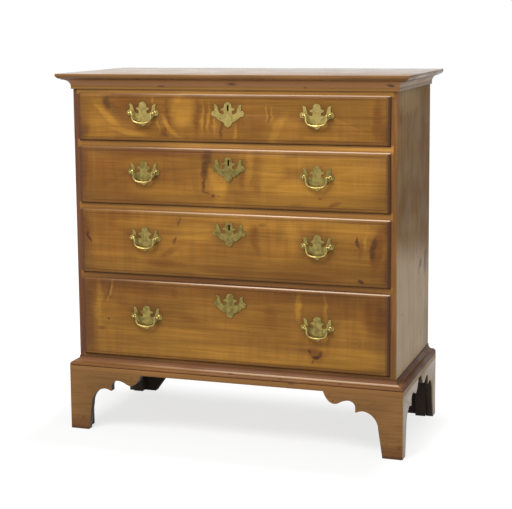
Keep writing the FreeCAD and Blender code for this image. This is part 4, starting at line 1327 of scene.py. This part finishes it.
def merged_copy(node_name):
    """Copy of a node with its triangles merged into plain faces."""
    node = frame["nodes"][node_name]
    piece = node.copy()
    piece.data = node.data.copy()
    piece.parent = None
    piece.matrix_world = Matrix.Identity(4)
    bpy.context.collection.objects.link(piece)
    start_edit(piece, "VERT")
    bpy.ops.mesh.customdata_custom_splitnormals_clear()
    bpy.ops.mesh.select_all(action="SELECT")
    bpy.ops.mesh.remove_doubles(threshold=MERGE)
    bpy.ops.mesh.dissolve_limited(angle_limit=FLAT)
    end_edit()
    return piece


def anywhere(start, end):
    """Choose every edge."""
    return True


def bevel_edges(piece, width, chosen):
    """Bevel the sharp edges of a piece that are chosen by their two ends."""
    start_edit(piece, "EDGE")
    bpy.ops.mesh.select_all(action="DESELECT")
    bpy.ops.mesh.edges_select_sharp(sharpness=SHARP)
    end_edit()
    sharp = {edge.index for edge in piece.data.edges if edge.select}

    def chosen_and_sharp(edge):
        start, end = (piece.data.vertices[corner].co for corner in edge.vertices)
        return edge.index in sharp and chosen(start, end)

    choose(piece, "EDGE", chosen_and_sharp)
    bpy.ops.mesh.bevel(offset=width, segments=BEVEL_STEPS, affect="EDGES", clamp_overlap=True)
    end_edit()
    bpy.ops.object.shade_smooth_by_angle(angle=SMOOTH_BEVEL)


def stretch_part(piece, chosen, size, centre):
    """Scale the vertices of a piece that are chosen by their place, about a centre."""
    choose(piece, "VERT", lambda vertex: chosen(vertex.co))
    bpy.ops.transform.resize(value=size, center_override=centre)
    end_edit()


def round_nosing(top, sizes):
    """Widen and raise the round under the top's edge, at the front and at both ends."""
    low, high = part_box("top_board")
    under = [vertex.co for vertex in top.data.vertices if vertex.co.z < high.z - MM and vertex.co.y < 0.0]
    rise = max(place.z for place in under) - low.z
    depth = min(place.y for place in under if place.z < low.z + ON_PLANE) - low.y
    taller = sizes.nosing_height / rise
    wider = sizes.nosing_depth / depth
    stretch_part(top, lambda place: place.z < high.z - MM, (1.0, 1.0, taller), (0.0, 0.0, low.z))
    stretch_part(top, lambda place: place.y < low.y + depth + MM, (1.0, wider, 1.0), (0.0, low.y, 0.0))
    stretch_part(top, lambda place: place.x < low.x + depth + MM, (wider, 1.0, 1.0), (low.x, 0.0, 0.0))
    stretch_part(top, lambda place: place.x > high.x - depth - MM, (wider, 1.0, 1.0), (high.x, 0.0, 0.0))


def soften(node_name, body, material, width, chosen):
    """Put a copy with softened arrises in a node's place."""
    piece = merged_copy(node_name)
    bevel_edges(piece, width, chosen)
    finish_piece(piece, node_name + "_softened", body, material, [node_name])


# Operators

class CHEST_OT_drawer_fronts(bpy.types.Operator):
    """Figured maple on the four drawer fronts, with softened lips"""
    bl_idname = "chest.drawer_fronts"
    bl_label = "Drawer fronts"

    def execute(self, context):
        width = context.scene.chest_fittings.soft_arris

        def on_lip(start, end):
            return max(start.y, end.y) < STILE_Y

        for number in DRAWERS:
            node = "drawer_%d_front" % number
            figured = figured_front(number, context.scene.chest_maple)
            soften(node, "drawer_%d" % number, figured, width, on_lip)
        return {"FINISHED"}


class CHEST_OT_case(bpy.types.Operator):
    """Maple on the ends, the top, the rails, the mouldings and the feet, with softened arrises"""
    bl_idname = "chest.case_boards"
    bl_label = "Case"

    def execute(self, context):
        woods = context.scene.chest_maple
        width = context.scene.chest_fittings.soft_arris
        cover("case_side_left", maple_end("maple left end", woods, woods.red_stile, END_SHADES))
        cover("case_side_right", maple_end("maple right end", woods, woods.stile, END_KNOTS + END_SHADES))
        rails = moulded_board("maple rail", woods, woods.rail, ALONG_X, 0.0, (), divider_shades(),
                              dull=0.34, specular=0.15)
        for name in ("top_rail", "drawer_dividers", "base_rail"):
            cover(name, rails)
        top = merged_copy("top_board")
        round_nosing(top, context.scene.chest_fittings)
        bevel_edges(top, 2 * width, anywhere)
        finish_piece(top, "top_board_softened", "case", maple_top(woods), ["top_board"])
        for node, name, tone, turn, bands, knots, dull, specular, share in MOULDINGS:
            light = getattr(woods, tone)
            foot_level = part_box(node)[0].z
            finish = moulded_board(name, woods, light, turn, foot_level, bands, knots, dull, specular)
            soften(node, "case", finish, width * share, anywhere)
        for node, name, tone, turn, axis, gloss in FEET:
            finish = bracket_foot(name, woods, getattr(woods, tone), turn, axis, gloss)
            soften(node, "case", finish, width, anywhere)
        return {"FINISHED"}


class CHEST_OT_linings(bpy.types.Operator):
    """Pine on the drawers' linings, the bottom, the runners, the back and the blocks"""
    bl_idname = "chest.pine_linings"
    bl_label = "Pine linings"

    def execute(self, context):
        woods = context.scene.chest_maple
        lengthwise = pine_board("pine across", woods.pine, ALONG_X)
        inwards = pine_board("pine inwards", woods.pine, ALONG_Y)
        for number in DRAWERS:
            cover("drawer_%d_sides" % number, inwards)
            cover("drawer_%d_back" % number, lengthwise)
            cover("drawer_%d_bottom" % number, lengthwise)
        cover("drawer_runners", inwards)
        cover("bottom_board", pine_board("pine bottom", woods.pine, ALONG_X, woods.stile))
        cover("back_boards", nailed_pine(woods))
        cover("rear_foot_brackets", pine_board("blackened pine", woods.near_black, ALONG_X))
        cover("foot_glue_blocks", pine_board("blackened pine blocks", woods.near_black, ALONG_Z))
        return {"FINISHED"}


class CHEST_OT_plates(bpy.types.Operator):
    """Bat-wing plates and escutcheons with rounded corners and filed bevels"""
    bl_idname = "chest.brass_plates"
    bl_label = "Plates"

    def execute(self, context):
        metals = context.scene.chest_metal
        sizes = context.scene.chest_fittings
        bright = brass("brass plate", metals, rubbed_and_sheen=0.32)
        dull = {
            "pull_plates": brass("dull brass plate", metals, rubbed_and_sheen=0.0, shade=0.9),
            "escutcheon": brass("dull brass escutcheon", metals, rubbed_and_sheen=0.0, shade=0.77),
        }

        def through_plate(start, end):
            return abs(start.x - end.x) < MERGE and abs(start.z - end.z) < MERGE

        def on_front(start, end):
            return abs(start.y - PLATE_Y) < ON_PLANE and abs(end.y - PLATE_Y) < ON_PLANE

        for number in DRAWERS:
            for part in dull:
                node = "drawer_%d_%s" % (number, part)
                finish = bright if number == BRIGHT_DRAWER else dull[part]
                piece = merged_copy(node)
                bevel_edges(piece, sizes.plate_corner, through_plate)
                bevel_edges(piece, sizes.plate_bevel, on_front)
                finish_piece(piece, node + "_bevelled", "drawer_%d" % number, finish, [node])
        return {"FINISHED"}


class CHEST_OT_posts(bpy.types.Operator):
    """Turned posts with their nuts"""
    bl_idname = "chest.brass_posts"
    bl_label = "Posts"

    def execute(self, context):
        sizes = context.scene.chest_fittings
        pivot_y = pull_pivot(1, "left").y
        master = model_post(sizes, PLATE_Y, PLATE_Y - pivot_y, INSIDE_Y)
        rubbed_and_sheen = brass("brass post", context.scene.chest_metal, rubbed_and_sheen=0.3)
        for number in DRAWERS:
            moves = []
            for side in PULL_SIDES:
                pivot = pull_pivot(number, side)
                for offset in (-sizes.post_half, sizes.post_half):
                    moves.append((pivot.x + offset, 0.0, pivot.z))
            posts = copy_at(master, moves)
            node = "drawer_%d_pull_posts" % number
            finish_piece(posts, node + "_turned", "drawer_%d" % number, rubbed_and_sheen, [node])
        drop_master(master)
        return {"FINISHED"}


class CHEST_OT_bails(bpy.types.Operator):
    """Cast bails that swing between their posts"""
    bl_idname = "chest.brass_bails"
    bl_label = "Bails"

    def execute(self, context):
        master = model_bail(context.scene.chest_fittings)
        metals = context.scene.chest_metal
        dull = brass("dull brass bail", metals, rubbed_and_sheen=0.45, shade=0.9, rough=0.4)
        bright = brass("brass bail", metals, rubbed_and_sheen=0.75, rough=0.34)
        for number in DRAWERS:
            finish = bright if number == BRIGHT_DRAWER else dull
            for side in PULL_SIDES:
                node = "drawer_%d_bail_%s" % (number, side)
                bail = copy_at(master, [pull_pivot(number, side)])
                finish_piece(bail, node + "_cast", node, finish, [node])
        drop_master(master)
        return {"FINISHED"}


class CHEST_OT_locks(bpy.types.Operator):
    """Iron on the locks and their bolts"""
    bl_idname = "chest.iron_locks"
    bl_label = "Locks"

    def execute(self, context):
        iron = wrought_iron(context.scene.chest_metal)
        for number in LOCKED_DRAWERS:
            cover("drawer_%d_lock" % number, iron)
            cover("drawer_%d_lock_bolt" % number, iron)
        return {"FINISHED"}


class CHEST_OT_stage(bpy.types.Operator):
    """Floor, lights, white surround and camera"""
    bl_idname = "chest.stage"
    bl_label = "Stage"

    def execute(self, context):
        stage = context.scene.chest_stage
        self.lay_floor()
        self.set_world(context, stage)
        self.hang_light(context, "key light", stage.key_power, *KEY_LIGHT)
        self.hang_light(context, "fill light", stage.fill_power, *FILL_LIGHT)
        self.set_camera(context, stage)
        context.scene.view_settings.view_transform = "Standard"
        return {"FINISHED"}

    def lay_floor(self):
        """Pale floor that shows white to the camera, with a painted shadow about the chest's foot, and keeps
        the chest's own shadow.
        """
        bpy.ops.object.select_all(action="DESELECT")
        bpy.ops.mesh.primitive_plane_add(size=FLOOR_SIZE, location=NOWHERE)
        floor = bpy.context.object
        floor.name = "floor"
        material, tree, shader, place = new_material("pale floor")
        # painted shadow: the glow that the camera sees is lowered about the chest's foot
        apart = vector_maths(tree, "ABSOLUTE", vector_maths(tree, "SUBTRACT", place, SHADE_MIDDLE))
        beyond = vector_maths(tree, "SUBTRACT", apart, (CASE_HALF, BACK_Y, 0.0))
        beyond = vector_maths(tree, "MAXIMUM", beyond)
        glow = ramp(tree, length_of(tree, beyond), 0.0, SHADE_REACH, SHADE_LEVEL, 1.0)
        matt = add_node(tree, "ShaderNodeBsdfDiffuse", None, {"Color": FLOOR_SEEN}).outputs[0]
        lit = add_node(tree, "ShaderNodeEmission", None, {"Strength": glow}).outputs[0]
        both = add_node(tree, "ShaderNodeAddShader", None, {0: matt, 1: lit}).outputs[0]
        plain = add_node(tree, "ShaderNodeBsdfDiffuse", None, {"Color": FLOOR_LIT}).outputs[0]
        ways = {0: seen_rays(tree), 1: plain, 2: both}
        shown = add_node(tree, "ShaderNodeMixShader", None, ways).outputs[0]
        set_inputs(tree, tree.nodes["Material Output"], {"Surface": shown})
        tree.nodes.remove(shader)
        floor.data.materials.append(material)

    def set_world(self, context, stage):
        """Even light from all sides, white where it is seen."""
        world = bpy.data.worlds.new("studio")
        context.scene.world = world
        world.use_nodes = True
        tree = world.node_tree
        level = fade(tree, seen_rays(tree), stage.surround, 1.0)
        set_inputs(tree, tree.nodes["Background"], {"Color": WHITE, "Strength": level})

    def hang_light(self, context, name, power, size, place, aim):
        """Softbox of a width and a depth, turned to its aim."""
        lamp = bpy.data.lights.new(name, "AREA")
        lamp.energy = power
        lamp.shape = "RECTANGLE"
        lamp.size = size[0]
        lamp.size_y = size[1]
        light = bpy.data.objects.new(name, lamp)
        light.location = place
        light.rotation_euler = (Vector(aim) - Vector(place)).to_track_quat("-Z", "Y").to_euler()
        context.collection.objects.link(light)

    def set_camera(self, context, stage):
        """Camera at the photograph's place."""
        data = bpy.data.cameras.new("camera")
        data.sensor_width = SENSOR_WIDTH
        data.lens = stage.lens
        data.shift_y = stage.shift_up
        camera = bpy.data.objects.new("camera", data)
        facing = Euler((math.pi / 2 - stage.camera_pitch, 0.0, stage.camera_yaw)).to_matrix()
        facing = facing @ Matrix.Rotation(stage.camera_roll, 3, "Z")
        camera.matrix_world = Matrix.Translation(stage.camera_place) @ facing.to_4x4()
        context.collection.objects.link(camera)
        context.scene.camera = camera


class CHEST_PT_panel(bpy.types.Panel):
    """Lists the pieces of the chest"""
    bl_idname = "CHEST_PT_panel"
    bl_label = "Chest of drawers"
    bl_space_type = "VIEW_3D"
    bl_region_type = "UI"
    bl_category = "Chest"

    def draw(self, context):
        for operator in OPERATORS:
            self.layout.operator(operator.bl_idname)


SETTINGS = {
    "chest_maple": MapleColours,
    "chest_metal": MetalColours,
    "chest_fittings": FittingSizes,
    "chest_stage": StageSettings,
}
OPERATORS = (
    CHEST_OT_drawer_fronts,
    CHEST_OT_case,
    CHEST_OT_linings,
    CHEST_OT_plates,
    CHEST_OT_posts,
    CHEST_OT_bails,
    CHEST_OT_locks,
    CHEST_OT_stage,
)


def register():
    """Make the settings, the operators and the panel known."""
    for name, group in SETTINGS.items():
        bpy.utils.register_class(group)
        setattr(bpy.types.Scene, name, PointerProperty(type=group))
    for operator in OPERATORS:
        bpy.utils.register_class(operator)
    bpy.utils.register_class(CHEST_PT_panel)


def unregister():
    """Take them away again."""
    bpy.utils.unregister_class(CHEST_PT_panel)
    for operator in reversed(OPERATORS):
        bpy.utils.unregister_class(operator)
    for name, group in SETTINGS.items():
        delattr(bpy.types.Scene, name)
        bpy.utils.unregister_class(group)


def main():
    """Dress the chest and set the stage."""
    register()
    bpy.ops.chest.drawer_fronts()
    bpy.ops.chest.case_boards()
    bpy.ops.chest.pine_linings()
    bpy.ops.chest.brass_plates()
    bpy.ops.chest.brass_posts()
    bpy.ops.chest.brass_bails()
    bpy.ops.chest.iron_locks()
    bpy.ops.chest.stage()


if __name__ == "__main__":
    main()
